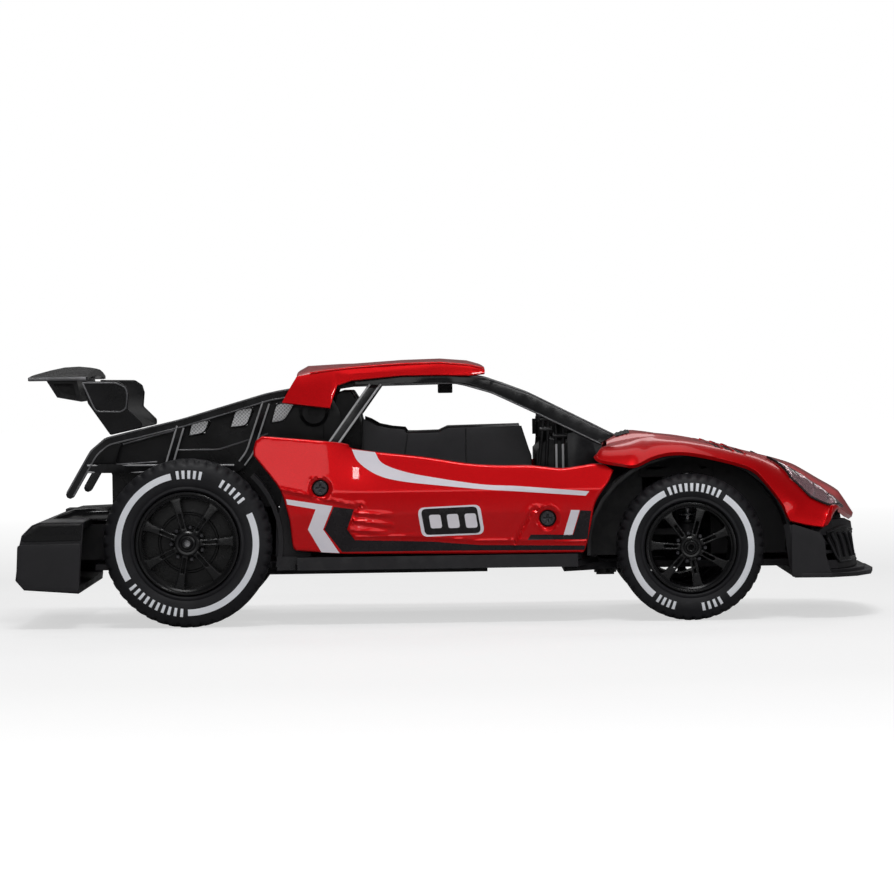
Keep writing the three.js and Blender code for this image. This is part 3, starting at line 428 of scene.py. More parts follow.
def joined(objects):
    """Merges separate meshes into one object."""
    merged = bmesh.new()
    for obj in objects:
        merged.from_mesh(obj.data)
    mesh = bpy.data.meshes.new("joined")
    merged.to_mesh(mesh)
    merged.free()
    mesh.materials.append(objects[0].data.materials[0])
    for obj in objects:
        bpy.data.objects.remove(obj)
    return link_mesh(mesh)


def smoothstep(a, b, x):
    t = min(1.0, max(0.0, (x - a) / (b - a)))
    return t * t * (3 - 2 * t)


def cubic(before, a, b, after, t):
    """A point between a and b on the smooth curve through four points."""
    return 0.5 * (2 * a + (b - before) * t + (2 * before - 5 * a + 4 * b - after) * t ** 2
                  + (3 * a - before - 3 * b + after) * t ** 3)


def catmull(points, steps):
    """A smooth curve through points, with a number of steps in each span."""
    points = [np.array(p, float) for p in points]
    ends = [2 * points[0] - points[1]] + points + [2 * points[-1] - points[-2]]
    curve = [cubic(*ends[i:i + 4], k / steps) for i in range(len(points) - 1) for k in range(steps)]
    return [tuple(p) for p in curve + points[-1:]]


def rounded(points, radius, steps=5):
    """A closed outline with each corner rounded; radius may be one number or one for each corner."""
    result = []
    count = len(points)
    for i in range(count):
        a, b, c = (np.array(points[(i + k) % count], float) for k in (-1, 0, 1))
        r = radius[i] if isinstance(radius, (list, tuple)) else radius
        u, v = a - b, c - b
        lu, lv = np.linalg.norm(u), np.linalg.norm(v)
        u, v = u / lu, v / lv
        half = math.acos(max(-1, min(1, float(u @ v)))) / 2
        if r <= 0 or half > math.radians(86):
            result.append(tuple(b))
            continue
        reach = min(r / math.tan(half), lu * 0.45, lv * 0.45)
        start, end = b + u * reach, b + v * reach
        for k in range(steps + 1):
            t = k / steps
            result.append(tuple((1 - t) ** 2 * start + 2 * t * (1 - t) * b + t ** 2 * end))
    return result


def resample(outline, spacing):
    """The closed outline with points no further apart than the spacing."""
    result = []
    for a, b in zip(outline, outline[1:] + outline[:1]):
        a, b = np.array(a, float), np.array(b, float)
        steps = max(1, math.ceil(np.linalg.norm(b - a) / spacing))
        result.extend(tuple(a + (b - a) * k / steps) for k in range(steps))
    return result


def edge_distance(points, outline):
    a = np.array(outline)
    d = np.roll(a, -1, axis=0) - a
    p = np.array(points)[:, None, :] - a[None, :, :]
    t = np.clip((p * d).sum(2) / np.maximum((d * d).sum(1), 1e-12), 0, 1)
    return np.sqrt(((p - t[..., None] * d) ** 2).sum(2)).min(1)


def inside(points, outline):
    x, z = np.array(points)[:, 0], np.array(points)[:, 1]
    result = np.zeros(len(x), bool)
    for (x0, z0), (x1, z1) in zip(outline, outline[1:] + outline[:1]):
        if z0 == z1:
            continue
        crosses = ((z0 > z) != (z1 > z)) & (x < (x1 - x0) * (z - z0) / (z1 - z0) + x0)
        result ^= crosses
    return result


def filled(outline, spacing, rings=(), holes=()):
    """Points and triangles that fill an outline: its edge, rings inside the edge, and an even grid."""
    loops = [resample(outline, min(spacing, 1.2))] + [resample(h, 0.6) for h in holes]
    points, edges = [], []
    for loop in loops:
        start = len(points)
        points.extend(loop)
        edges.extend((start + i, start + (i + 1) % len(loop)) for i in range(len(loop)))

    def keep(candidates, clear):
        if not len(candidates):
            return []
        good = inside(candidates, loops[0]) & (edge_distance(candidates, loops[0]) > clear)
        for hole in loops[1:]:
            good &= ~inside(candidates, hole) & (edge_distance(candidates, hole) > clear)
        return [tuple(c) for c, g in zip(candidates, good) if g]

    for depth in rings:
        for loop in loops:
            ring = []
            for i, here in enumerate(loop):
                along = np.array(loop[(i + 1) % len(loop)]) - np.array(loop[i - 1])
                normal = np.array((-along[1], along[0])) / max(np.linalg.norm(along), 1e-9)
                ring.extend([tuple(np.array(here) + normal * depth), tuple(np.array(here) - normal * depth)])
            points.extend(keep(ring, depth * 0.93))
    low, high = np.array(outline).min(0), np.array(outline).max(0)
    grid = [(x, z) for x in np.arange(low[0], high[0], spacing) for z in np.arange(low[1], high[1], spacing)]
    last = rings[-1] if rings else 0
    points.extend(keep(grid, last + spacing * 0.45))
    verts, _, faces, _, _, _ = geometry.delaunay_2d_cdt([Vector(p) for p in points], edges, [], 1, 1e-5)
    verts = [tuple(v) for v in verts]
    if holes:
        centres = [tuple(np.mean([verts[i] for i in f], axis=0)) for f in faces]
        drop = np.zeros(len(centres), bool)
        for hole in loops[1:]:
            drop |= inside(centres, hole)
        faces = [f for f, d in zip(faces, drop) if not d]
    return verts, [tuple(f) for f in faces], loops


def sheet_solid(outline, y_outer, thickness, material, edge, spacing, holes=()):
    """A panel in x, z: its outer face is at y_outer, a number or a function, and its edges are rolled."""
    rings = [edge * f for f in (0.15, 0.35, 0.65, 1.0)] if edge else []
    verts, faces, loops = filled(outline, spacing, rings, holes)
    distance = np.min([edge_distance(verts, loop) for loop in loops], axis=0)
    front, back = [], []
    for (x, z), d in zip(verts, distance):
        y = place(y_outer, x, z)
        roll = edge - math.sqrt(max(0.0, edge ** 2 - (edge - d) ** 2)) if d < edge else 0.0
        front.append((x, y + roll, z))
        back.append((x, y + thickness, z))
    count = len(front)
    solid = [tuple(f) for f in faces] + [tuple(i + count for i in reversed(f)) for f in faces]
    sides = dict.fromkeys((f[i], f[(i + 1) % len(f)]) for f in faces for i in range(len(f)))
    solid += [(b, a, a + count, b + count) for a, b in sides if (b, a) not in sides]
    return new_object(front + back, solid, material)


def place(y, x, z):
    return y(x, z) if callable(y) else y


def sheet(name, outline, y, thickness, material="gloss_black", edge=0.3, spacing=3, holes=()):
    """The same panel on both sides of the car."""
    pair(name, lambda: sheet_solid(outline, y, thickness, material, edge, spacing, holes))


def grid_solid(outer, inner, material, smooth_angle=40):
    """A closed sheet between two grids of points."""
    rows, columns = len(outer), len(outer[0])
    verts = [p for row in outer for p in row] + [p for row in inner for p in row]
    at = lambda layer, i, j: layer * rows * columns + i * columns + j
    faces = []
    for i in range(rows - 1):
        for j in range(columns - 1):
            faces.append((at(0, i, j), at(0, i + 1, j), at(0, i + 1, j + 1), at(0, i, j + 1)))
            faces.append((at(1, i, j), at(1, i, j + 1), at(1, i + 1, j + 1), at(1, i + 1, j)))
    last = columns - 1
    for i in range(rows - 1):
        faces.append((at(0, i, 0), at(1, i, 0), at(1, i + 1, 0), at(0, i + 1, 0)))
        faces.append((at(0, i, last), at(0, i + 1, last), at(1, i + 1, last), at(1, i, last)))
    last = rows - 1
    for j in range(columns - 1):
        faces.append((at(0, 0, j), at(0, 0, j + 1), at(1, 0, j + 1), at(1, 0, j)))
        faces.append((at(0, last, j), at(1, last, j), at(1, last, j + 1), at(0, last, j + 1)))
    return new_object(verts, faces, material, smooth_angle)


def offset_grid(grid, distance):
    g = np.array(grid, float)
    along = np.gradient(g, axis=0)
    across = np.gradient(g, axis=1)
    normal = np.cross(across, along)
    normal /= np.maximum(np.linalg.norm(normal, axis=2, keepdims=True), 1e-9)
    return g + normal * distance


def ring_faces(sections, count, closed=True):
    """Faces between neighbouring sections that each have count points."""
    faces = []
    for k in range(sections if closed else sections - 1):
        n = (k + 1) % sections
        for i in range(count):
            j = (i + 1) % count
            faces.append((k * count + i, k * count + j, n * count + j, n * count + i))
    return faces


def lathe(profile, axle, segments, material, smooth_angle=40):
    """Turns a closed profile of [radius, y] about the Y axis through (x, z)."""
    x0, z0 = axle
    verts = []
    for k in range(segments):
        t = 2 * math.pi * k / segments
        verts.extend((x0 + r * math.cos(t), y, z0 + r * math.sin(t)) for r, y in profile)
    return new_object(verts, ring_faces(segments, len(profile)), material, smooth_angle)


# ---------------------------------------------------------------- side panels

BELT_Z = 58
PANEL = 2.0
SCREWS = {"rear": (-55.5, 59.7), "front": (43.1, 45.2)}
SCREW_HOLE_R = 3.6


def body_half_width(x, z):
    haunch = 1 - smoothstep(-60, -25, x)
    lean = 0.42 * (1 - 0.55 * haunch) * max(0.0, z - BELT_Z)
    tuck = 0.1 * max(0.0, 48 - z)
    hollow = 2.5 * math.exp(-(((x - 8) / 40) ** 2))
    return 81.5 - lean - tuck - hollow


PANEL_TOP = [
    (-80.5, 82.7), (-46.5, 79.3), (-42, 77), (-32, 75.2), (-11, 72.7), (8, 69.6), (22, 68.5), (36, 68.3),
    (48.5, 66.9), (56, 67.6), (63.5, 68.6), (68, 68), (72, 65.6),
]
PANEL_FRONT = [(70, 61), (65.3, 54.4), (63.3, 50), (62.2, 44.3), (60.3, 35), (58.7, 30)]
PANEL_FOOT = [(13, 30), (-45, 30.9), (-66.2, 32.7), (-67.4, 33.4), (-68, 35.5)]
PANEL_REAR = [(-69, 45.6), (-72.4, 58), (-77, 65), (-80.5, 69.4), (-84.3, 74.2)]
PANEL_TAIL = [(-84.4, 77), (-83.4, 80.6)]


def panel_outline():
    corner = rounded([(59.5, 33), (58.7, 30.1), (52, 30)], 1.5)[6:12]
    front = catmull(PANEL_FRONT, 4)[:-1] + corner
    return catmull(PANEL_TOP, 4) + front + PANEL_FOOT + catmull(PANEL_REAR, 4) + PANEL_TAIL


CREASE = [(-73.5, 59.2), (-40.9, 51.6), (-37.4, 52.5), (-44.4, 41.8), (-41.6, 38.3), (-8.2, 37.3),
          (13.5, 35.3), (60, 34.5)]
FRONT_CREASE = [(38.3, 49.4), (36.2, 48.2), (28.6, 34.8)]
RIBS = [((-40.2, 48.6), (-24.6, 47.9)), ((-40.8, 45.5), (-24.2, 43.2)), ((-42.3, 41.6), (-26.5, 40.0))]
RECESS = 0.55


def polyline_distance(x, z, points):
    """Distance to a polyline, and how far along it the nearest point lies, from 0 to 1."""
    best, where = 1e9, 0.0
    for i in range(len(points) - 1):
        (ax, az), (bx, bz) = points[i], points[i + 1]
        dx, dz = bx - ax, bz - az
        t = min(1.0, max(0.0, ((x - ax) * dx + (z - az) * dz) / (dx * dx + dz * dz)))
        d = math.hypot(x - ax - dx * t, z - az - dz * t)
        if d < best:
            best, where = d, (i + t) / (len(points) - 1)
    return best, where


LOWER_FIELD = CREASE + [(60, 20), (-80, 20), (-80, 59)]


def relief(x, z):
    """How far the skin lies in from the plain body side: a sunk lower field, scoop ribs and screw seats."""
    if z > 64:
        return 0.0
    d, _ = polyline_distance(x, z, CREASE)
    within = inside([(x, z)], LOWER_FIELD)[0]
    signed = d if within else -d
    depth = RECESS * smoothstep(-0.45, 0.45, signed)
    depth -= 0.28 * math.exp(-((signed + 0.7) / 0.5) ** 2)
    for a, b in RIBS:
        d, t = polyline_distance(x, z, [a, b])
        height = 0.85 * (1 - 0.75 * t)
        depth -= height * (1 - smoothstep(0.25, 1.05, d))
        below, _ = polyline_distance(x, z + 1.7, [a, b])
        depth += 0.35 * (1 - t) * (1 - smoothstep(0.2, 1.0, below))
    d, t = polyline_distance(x, z, FRONT_CREASE)
    depth += 0.5 * math.exp(-(d / 0.55) ** 2) - 0.3 * math.exp(-((d - 1.3) / 0.5) ** 2)
    for sx, sz in SCREWS.values():
        r = math.hypot(x - sx, z - sz)
        depth += 0.5 * (1 - smoothstep(4.5, 5.2, r)) - 0.2 * math.exp(-((r - 5.6) / 0.4) ** 2)
    return depth


def panel_surface(x, z):
    return -body_half_width(x, z) + relief(x, z)


def side_panel():
    turn = np.linspace(0, 2 * math.pi, 33)[:-1]
    holes = [[(x + SCREW_HOLE_R * math.cos(t), z + SCREW_HOLE_R * math.sin(t)) for t in turn]
             for x, z in SCREWS.values()]
    return sheet_solid(panel_outline()[::-1], panel_surface, PANEL, "candy_red", 0.9, 0.85, holes)


def decal(name, outline, material, lift=0.15):
    """Print on the panel: a thin layer that follows its surface."""
    sheet(name, outline, lambda x, z: panel_surface(x, z) - lift, 0.3, material, 0, 0.85)


ARROW = [(-70.4, 55.2), (-50.3, 51.9), (-54.5, 41.8), (-47.6, 31.4), (-55.4, 31.9), (-61.1, 41.9),
         (-57.6, 50.6), (-69.9, 52.9)]
CHEVRON = [(-49.7, 51.6), (-41.0, 50.4), (-44.1, 41.6), (-40.8, 36.9), (-8.2, 35.8), (13.5, 33.9),
           (59.2, 33.1), (58.8, 31.2), (13.4, 31.6), (-46.4, 31.9), (-53.9, 41.8)]
SWEEP_TOP = [(-31.6, 74.9), (-28.4, 70.1), (-19.6, 66.5), (-7.8, 63.9), (13.9, 60.4), (31.2, 59.3),
             (61.2, 56.7)]
SWEEP_FOOT = [(-41.6, 76.3), (-39.4, 71.6), (-35.0, 67.6), (-28.5, 64.2), (-19.6, 62.1), (-7.8, 60.6),
              (13.8, 58.3), (31.1, 57.0), (59.7, 54.8)]
PLATE = [(-13.6, 50.6), (13.7, 51.6), (15.7, 38.6), (-11.6, 37.9)]
FRONT_WHITE = [(53.2, 48.7), (57.0, 48.6), (53.6, 37.6), (49.8, 37.7)]
FRONT_BLACK = [(57.3, 48.5), (61.9, 48.2), (60.2, 35.9), (34.2, 35.9), (35.6, 38.2), (54.0, 37.9)]

PLATE_FIELD = 1.62


def inset(outline, distance):
    """The outline with its corners drawn in towards its middle."""
    centre = np.mean(outline, axis=0)
    arms = [np.array(p) - centre for p in outline]
    return [tuple(centre + arm * (1 - distance / np.linalg.norm(arm))) for arm in arms]


def print_panel():
    """The stripes and the number plate; three plain bars stand where the plate's digits would be."""
    decal("print_sweep", catmull(SWEEP_TOP, 5) + catmull(SWEEP_FOOT, 5)[::-1], "white_print")
    decal("print_arrow", ARROW, "white_print")
    decal("print_chevron", CHEVRON, "black_print")
    decal("print_front_white", FRONT_WHITE, "white_print")
    decal("print_front_black", FRONT_BLACK, "black_print")
    decal("plate_border", rounded(PLATE, 3), "white_print")
    decal("plate_field", rounded(inset(PLATE, PLATE_FIELD), 2.2), "black_print", lift=0.2)
    for i, x in enumerate((-8.6, -0.9, 6.8)):
        bar = [(x, 47.6 + 0.02 * x), (x + 5.0, 47.7 + 0.02 * x), (x + 5.9, 41.6), (x + 0.9, 41.5)]
        decal(f"plate_bar_{i + 1}", rounded(bar, 1.1), "white_print", lift=0.25)


# ---------------------------------------------------------------- bars and edges

def tube(points, radius, material, sides=8):
    """A round bead along a line of points in millimetres, closed at both ends."""
    points = [Vector(p) for p in points]
    verts = []
    normal = None
    for i, p in enumerate(points):
        along = (points[min(i + 1, len(points) - 1)] - points[max(i - 1, 0)]).normalized()
        if normal is None:
            normal = along.orthogonal().normalized()
        normal = (normal - along * normal.dot(along)).normalized()
        other = along.cross(normal)
        for k in range(sides):
            t = 2 * math.pi * k / sides
            verts.append(p + (normal * math.cos(t) + other * math.sin(t)) * radius)
    faces = ring_faces(len(points), sides, closed=False)
    faces.append(tuple(range(sides)))
    faces.append(tuple(reversed(range(len(verts) - sides, len(verts)))))
    return new_object(verts, faces, material)


# By default the beads are a grey lighter than the black around them: painted highlight lines along edges.
def beads(name, lines, y, radius=0.42, material="painted_dim_highlight"):
    """Rounded beads on both sides of the car: each line is [x, z] points, and y is a number or a function."""
    def build():
        paths = [[(x, place(y, x, z), z) for x, z in rounded_path(line)] for line in lines]
        return joined([tube(path, radius, material, 10) for path in paths])
    pair(name, build)


def rounded_path(line, radius=2.2, steps=4):
    """An open polyline with its corners rounded, and points at least every 6 mm."""
    line = [np.array(p, float) for p in line]
    result = [line[0]]
    for i in range(1, len(line) - 1):
        a, b, c = line[i - 1], line[i], line[i + 1]
        r = min(radius, np.linalg.norm(b - a) * 0.45, np.linalg.norm(c - b) * 0.45)
        p = b + (a - b) / np.linalg.norm(a - b) * r
        q = b + (c - b) / np.linalg.norm(c - b) * r
        for t in np.linspace(0, 1, steps + 1):
            result.append(p * (1 - t) ** 2 + b * 2 * t * (1 - t) + q * t * t)
    result.append(line[-1])
    dense = []
    for a, b in zip(result, result[1:]):
        n = max(1, int(np.linalg.norm(b - a) / 6))
        dense.extend([tuple(a + (b - a) * k / n) for k in range(n)])
    return dense + [tuple(result[-1])]


def cabin_y(x, z):
    """Outer face of the cabin's side frame, which leans outward as it comes down."""
    return -50.45 - 0.5 * max(0.0, 105 - z)


RAIL_TOP = [(-41, 107.9), (4, 108.4), (17.2, 106.4), (36.6, 99.2), (73.3, 80.6)]
RAIL_FOOT = [(-24, 104.2), (5, 104.3), (19.8, 99.9), (39.8, 90.4), (66.9, 77.0)]
PILLAR_FRONT = [(-29.0, 104.3), (-47.7, 78.6)]
PILLAR_REAR = [(-33.8, 104.3), (-52.2, 78.6)]


def cockpit_y(x, z):
    """The flank of the seats, just inside the cabin frame."""
    return -46.2 - 0.06 * (90 - z)


def make_cabin_trim():
    rail = RAIL_TOP[:1] + catmull(RAIL_TOP[1:], 4) + catmull(RAIL_FOOT, 4)[::-1] + [(-41, 104.0)]
    sheet("window_rail", rail, cabin_y, 3.0, edge=0.7)
    sheet("door_pillar", PILLAR_FRONT + PILLAR_REAR[::-1], cabin_y, 2.6, edge=0.5, spacing=2)
    # The pillar and rail beads are painted highlights: grey lines along the gloss black edges.
    beads("pillar_beads", [PILLAR_FRONT, PILLAR_REAR], cabin_y, 0.5, "painted_highlight")
    beads("rail_beads", [RAIL_TOP[1:], [(-24, 104.2)] + RAIL_FOOT[1:]], cabin_y, 0.38)
    quarter = [(53.5, 78), (60.5, 81.5), (67.5, 77.8), (66.8, 63), (53.5, 63)]
    sheet("quarter_glass", quarter, lambda x, z: cabin_y(x, z) + 1.2, 0.8, "smoke", 0.2)
    inner = [(-38.5, 60), (-37.5, 89.4), (-34.5, 88.3), (-30.6, 86.0), (-25, 84.8), (-19, 84.2),
             (-17.9, 82.6), (-4.3, 82.4), (0.4, 84.6), (32.7, 85.1), (37, 71.3), (37, 60)]
    sheet("cockpit_wall", inner, cockpit_y, 1.3, "matte_black", 0.4)
    firewall = [(-54.5, 58), (-54.5, 96.6), (-50.2, 98.6), (-46.8, 92), (-45.5, 58)]
    sheet("seat_firewall", firewall, -44.7, 0.9, spacing=4)
    # Painted highlight: light grey tubes laid over the lower part of two dash tubes.
    beads("dash_tube_highlights", [[(47.7, 64), (47.7, 77)], [(50.6, 64), (50.6, 77)]], -57.6, 0.55, "painted_highlight")
    # Painted highlight: light grey beads along the quarter glass frame.
    bars = [[(54.2, 79.6), (66.2, 64.6)], [(54.2, 78.4), (54.2, 65)]]
    beads("quarter_frame", bars, lambda x, z: cabin_y(x, z) + 1.1, 0.45, "painted_highlight")
    shoulder = [(-60, 109.6), (-50.5, 110.8), (-41.4, 111.7), (-20, 113.1), (-3, 113.4), (10, 112.2),
                (16.4, 110.6)]
    beads("roof_bead", [shoulder], -52.0, 0.45, "candy_red")
    seams = [[(8.2, 84.4), (8.2, 62)], [(-17.5, 82), (-20.5, 62)], [(-37, 88), (-37, 64)]]
    beads("cockpit_seams", seams, lambda x, z: cockpit_y(x, z) - 0.15, 0.3, "gloss_black")
    uprights = [[(50.8, 63), (50.8, 89.6)], [(47.6, 63), (47.6, 89.6)], [(42.2, 88.6), (39.6, 63)],
                [(44.4, 88.6), (43, 63)]]
    beads("dash_tubes", uprights, -56.5, 0.75, "gloss_black")
    caps = [[(45.9, 86.6), (52.7, 86.6)], [(40.7, 88), (46, 88)], [(40.5, 83.5), (46, 83.5)],
            [(46.2, 80.6), (52.4, 80.6)]]
    beads("dash_tube_caps", caps, -56.3, 1.15, "gloss_black")


DECK_TOP = [(-166, 57), (-150, 82), (-116, 89.5), (-78, 100), (-60, 103.5)]


def rear_frame_y(x, z):
    deck = float(np.interp(x, [p[0] for p in DECK_TOP], [p[1] for p in DECK_TOP]))
    half = 52 + 7.5 * (1 - smoothstep(-160, -62, x))
    return -half + 0.17 * max(0.0, deck - z)


def parallel(line, distance):
    """A polyline moved sideways by a distance."""
    line = [np.array(p, float) for p in line]
    result = []
    for i, p in enumerate(line):
        along = line[min(i + 1, len(line) - 1)] - line[max(i - 1, 0)]
        normal = np.array((-along[1], along[0])) / np.linalg.norm(along)
        result.append(tuple(p + normal * distance))
    return result


FRAME_BARS = {
    "top": [(-67.5, 101.2), (-78.5, 99.4), (-116, 88.6), (-149, 81), (-155, 76), (-165.5, 58)],
    "bottom": [(-158, 69.2), (-94, 68.2)],
    "rear": [(-117, 87.0), (-122.3, 70.2)],
    "front": [(-79.4, 97), (-87, 75), (-90.5, 70.4)],
}
MESH_WINDOWS = [
    [(-114, 82.7), (-107.1, 83.9), (-104.3, 89.8), (-112.6, 88.9)],
    [(-95.6, 86.2), (-88.3, 86.9), (-85.1, 95.1), (-93.1, 94.2)],
    [(-77.6, 87.9), (-71.6, 88.8), (-66.6, 96.8), (-75.2, 96.6)],
]


DECK_LOUVRES = 8
DECK_LOUVRE_PITCH = 8.2


def deck_louvre(k):
    """One rib across the engine cover, which follows the cover's slope."""
    x = -138 + DECK_LOUVRE_PITCH * k
    base = float(np.interp(x, [-146.5, -116, -78], [80, 88, 98]))
    slope = 8 / 30.5 if x < -116 else 10 / 38
    section = [(0, 0.1), (0.6, 1.1), (4.6, 0.9), (5.6, 0.1)]
    edge = -34
    rows = [edge, -33.2, -16, 0]
    ramp = [(x + u, base + slope * u, v) for u, v in section]
    outer = [[(px, y, pz + (min(v, 0.4) if y == edge else v)) for px, pz, v in ramp] for y in rows]
    inner = [[(px, y, pz - 0.5) for px, pz, v in ramp] for y in rows]
    return grid_solid(outer, inner, "matte_black")


def make_deck_trim():
    top = FRAME_BARS["top"]
    # The rails and beads along the frame bars are a grey lighter than the bars: painted highlights along their
    # edges.
    beads("rear_frame_rails", [parallel(top, 1.55), parallel(top, -1.55)], rear_frame_y)
    lines = [parallel(FRAME_BARS[bar], gap) for bar in ("bottom", "rear", "front") for gap in (1.5, -1.5)]
    beads("rear_frame_beads", lines, rear_frame_y, 0.42, "painted_highlight")
    pair("mesh_windows", lambda: joined([sheet_solid(rounded(w, 0.6, 2), -44.5, 0.9, "steel_mesh",
                                                          0.15, 1.5) for w in MESH_WINDOWS]))
    beads("mesh_frames", [w + w[:1] for w in MESH_WINDOWS], -44.4, 0.35, "gloss_black")
    creases = [[(-120, 76.5), (-101, 76.5), (-88, 80.5), (-79, 83.2)], [(-143, 79.4), (-118, 85.8)],
               [(-146, 70.5), (-128, 71.5)]]
    # The crease beads are a lighter grey: painted highlight lines.
    beads("cover_creases", creases, -44.0, 0.45)
    pair("deck_louvres", lambda: joined([deck_louvre(k) for k in range(DECK_LOUVRES)]))
    plate = [(-159.2, 106.9), (-144.4, 106.6), (-140.4, 104.6), (-139.7, 101.5), (-140.3, 95.6),
             (-142.4, 94.0), (-153.6, 94.2)]
    # The beads round the wing's end plate and along its lip are a lighter grey: painted highlight lines.
    beads("endplate_edges", [plate + plate[:1]], -62.1, 0.4)
    beads("wing_lip", [[(-182.6, 108.7), (-157.6, 108.7)]], -62.0, 0.85)
    web = [(-150, 79.5), (-157.5, 70.6), (-146, 70), (-143, 80)]
    sheet("deck_web", web, lambda x, z: rear_frame_y(x, z) + 3.6, 1.2, spacing=2)
    foot = [(-75.6, 29.5), (-75.2, 44), (-72, 59), (-60, 59), (-60, 29.5)]
    sheet("sill_liner", foot, -72.0, 1.2, "matte_black", spacing=4)
    ring = [(2.6, -47.6), (2.6, -46.2), (5.4, -44.6), (6.4, -44.6), (6.4, -46.0), (5.0, -47.6)]
    pair("intake_ring", lambda: lathe(ring, (-58.6, 92.4), 40, "gloss_black"))


# ---------------------------------------------------------------- hood, headlights and bumpers

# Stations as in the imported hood: [x, z] in the middle, [x, y, z] on the fender's crest and on the lower edge.
HOOD = [
    ((71, 78.5), (68.5, 60, 75.6), (64.8, 79, 72.4)), ((74.5, 80), (72, 60, 76.8), (66.5, 79.5, 70.3)),
    ((81, 81.8), (80, 60, 78), (75.4, 80, 68.4)), ((86, 81.5), (86, 60, 79.4), (81.1, 80, 67.8)),
    ((92, 80.6), (91, 60, 79.8), (88.2, 80, 71.1)), ((99, 79.3), (98, 60, 79.2), (96, 80, 73)),
    ((107.5, 77.6), (107, 60, 78), (105, 80, 72.9)), ((122, 74.4), (121, 61, 75), (118, 80, 70.2)),
    ((139, 70.4), (137, 63, 70.5), (131.5, 80, 65.9)), ((148, 68), (147, 64, 65.5), (138, 80, 59.8)),
    ((156, 65), (154, 65, 61.2), (145.4, 80, 49.7)), ((166, 59), (162, 66, 55.5), (148.6, 80, 42.6)),
    ((174.8, 53.6), (167, 67, 51.5), (162.6, 79, 39.8)), ((181, 42.5), (171.5, 67, 47), (166, 77.5, 49)),
]
HOOD_DIPS = [(0, 0), (0.32, 0), (0.5, -2.2), (0.8, -1.6), (1, 0)]
HOOD_INNER = [0, 0.12, 0.24, 0.32, 0.36, 0.42, 0.5, 0.6, 0.7, 0.8, 0.88, 0.93, 0.965, 1]
HOOD_OUTER = [0.04, 0.09, 0.16, 0.25, 0.35, 0.48, 0.62, 0.75, 0.88, 1]
HOOD_STEPS = 5
HOOD_NOSE = 10
HOOD_THICKNESS = 2.0
HOOD_CREST = len(HOOD_INNER) - 1
LAMP_FACETS = 4
LAMP_GAP = 0.012


def hood_stations():
    """The hood's stations with smooth steps between them; the nose keeps its folds, so it curves less."""
    rows = [np.array([*middle, *crest, *edge], float) for middle, crest, edge in HOOD]
    result = []
    for i, (a, b) in enumerate(zip(rows, rows[1:])):
        before, after = rows[max(i - 1, 0)], rows[min(i + 2, len(rows) - 1)]
        for t in np.arange(HOOD_STEPS) / HOOD_STEPS:
            curved = cubic(before, a, b, after, t)
            straight = a * (1 - t) + b * t
            result.append(straight * 0.6 + curved * 0.4 if i >= HOOD_NOSE else curved)
    return result + rows[-1:]


def hood_section(row):
    """Right half of a hood section, from the middle to the lower edge, y negative."""
    mx, mz, cx, cy, cz, ex, ey, ez = row
    dips = np.interp(HOOD_INNER, *zip(*HOOD_DIPS))
    points = [(mx + (cx - mx) * t ** 2, -cy * t, mz + (cz - mz) * t + dip)
              for t, dip in zip(HOOD_INNER, dips)]
    for t in HOOD_OUTER:
        bulge = math.sin(math.pi * t)
        y = -(cy + (ey - cy) * t + 2.4 * bulge)
        points.append((cx + (ex - cx) * t, y, cz + (ez - cz) * t + 1.2 * bulge))
    return points


HOOD_SKIN = np.array([hood_section(row) for row in hood_stations()])
HOOD_NORMALS = offset_grid(HOOD_SKIN, 1.0) - HOOD_SKIN


def hood_point(s, q, height):
    """A point over the right half of the hood: station s, place across q and height above the skin."""
    i, j = min(int(s), len(HOOD_SKIN) - 2), min(int(q), HOOD_SKIN.shape[1] - 2)
    a, b = s - i, q - j

    def mix(g):
        near, far = (g[i, k] * (1 - a) + g[i + 1, k] * a for k in (j, j + 1))
        return near * (1 - b) + far * b
    normal = mix(HOOD_NORMALS)
    return tuple(mix(HOOD_SKIN) + normal / np.linalg.norm(normal) * height)


def hood_patch(corners, height, depth, material, rows, columns, crown=0.0):
    """A thin plate on the hood between four corners given as station and place across."""
    a, b, c, d = [np.array(p, float) for p in corners]
    top, foot = [], []
    steps = np.linspace(0, 1, columns)
    for u in np.linspace(0, 1, rows):
        across = [(a * (1 - v) + b * v) * (1 - u) + (d * (1 - v) + c * v) * u for v in steps]
        rises = [crown * math.sin(math.pi * u) * math.sin(math.pi * v) for v in steps]
        top.append([hood_point(*at, height + rise) for at, rise in zip(across, rises)])
        foot.append([hood_point(*at, height - depth) for at in across])
    return grid_solid(top, foot, material)


def fender_louvres(material, height, width, offset):
    """Three slots behind the fender's crest, or the raised lip along each."""
    pieces = []
    for k in range(3):
        s = 32.3 + 1.6 * k + offset
        corners = [(s, HOOD_CREST + 0.3), (s + width, HOOD_CREST + 0.3), (s + width + 1.5, HOOD_CREST + 5.4),
                   (s + 1.5, HOOD_CREST + 5.4)]
        pieces.append(hood_patch(corners, height, 0.6, material, 3, 8))
    return joined(pieces)


def vent_slats():
    starts = [6.1 + 1.4 * k for k in range(3)]
    return joined([hood_patch([(s, 0.0), (s, 3.0), (s + 0.5, 3.0), (s + 0.5, 0.0)], 0.5, 0.8, "matte_black",
                                    3, 6) for s in starts])


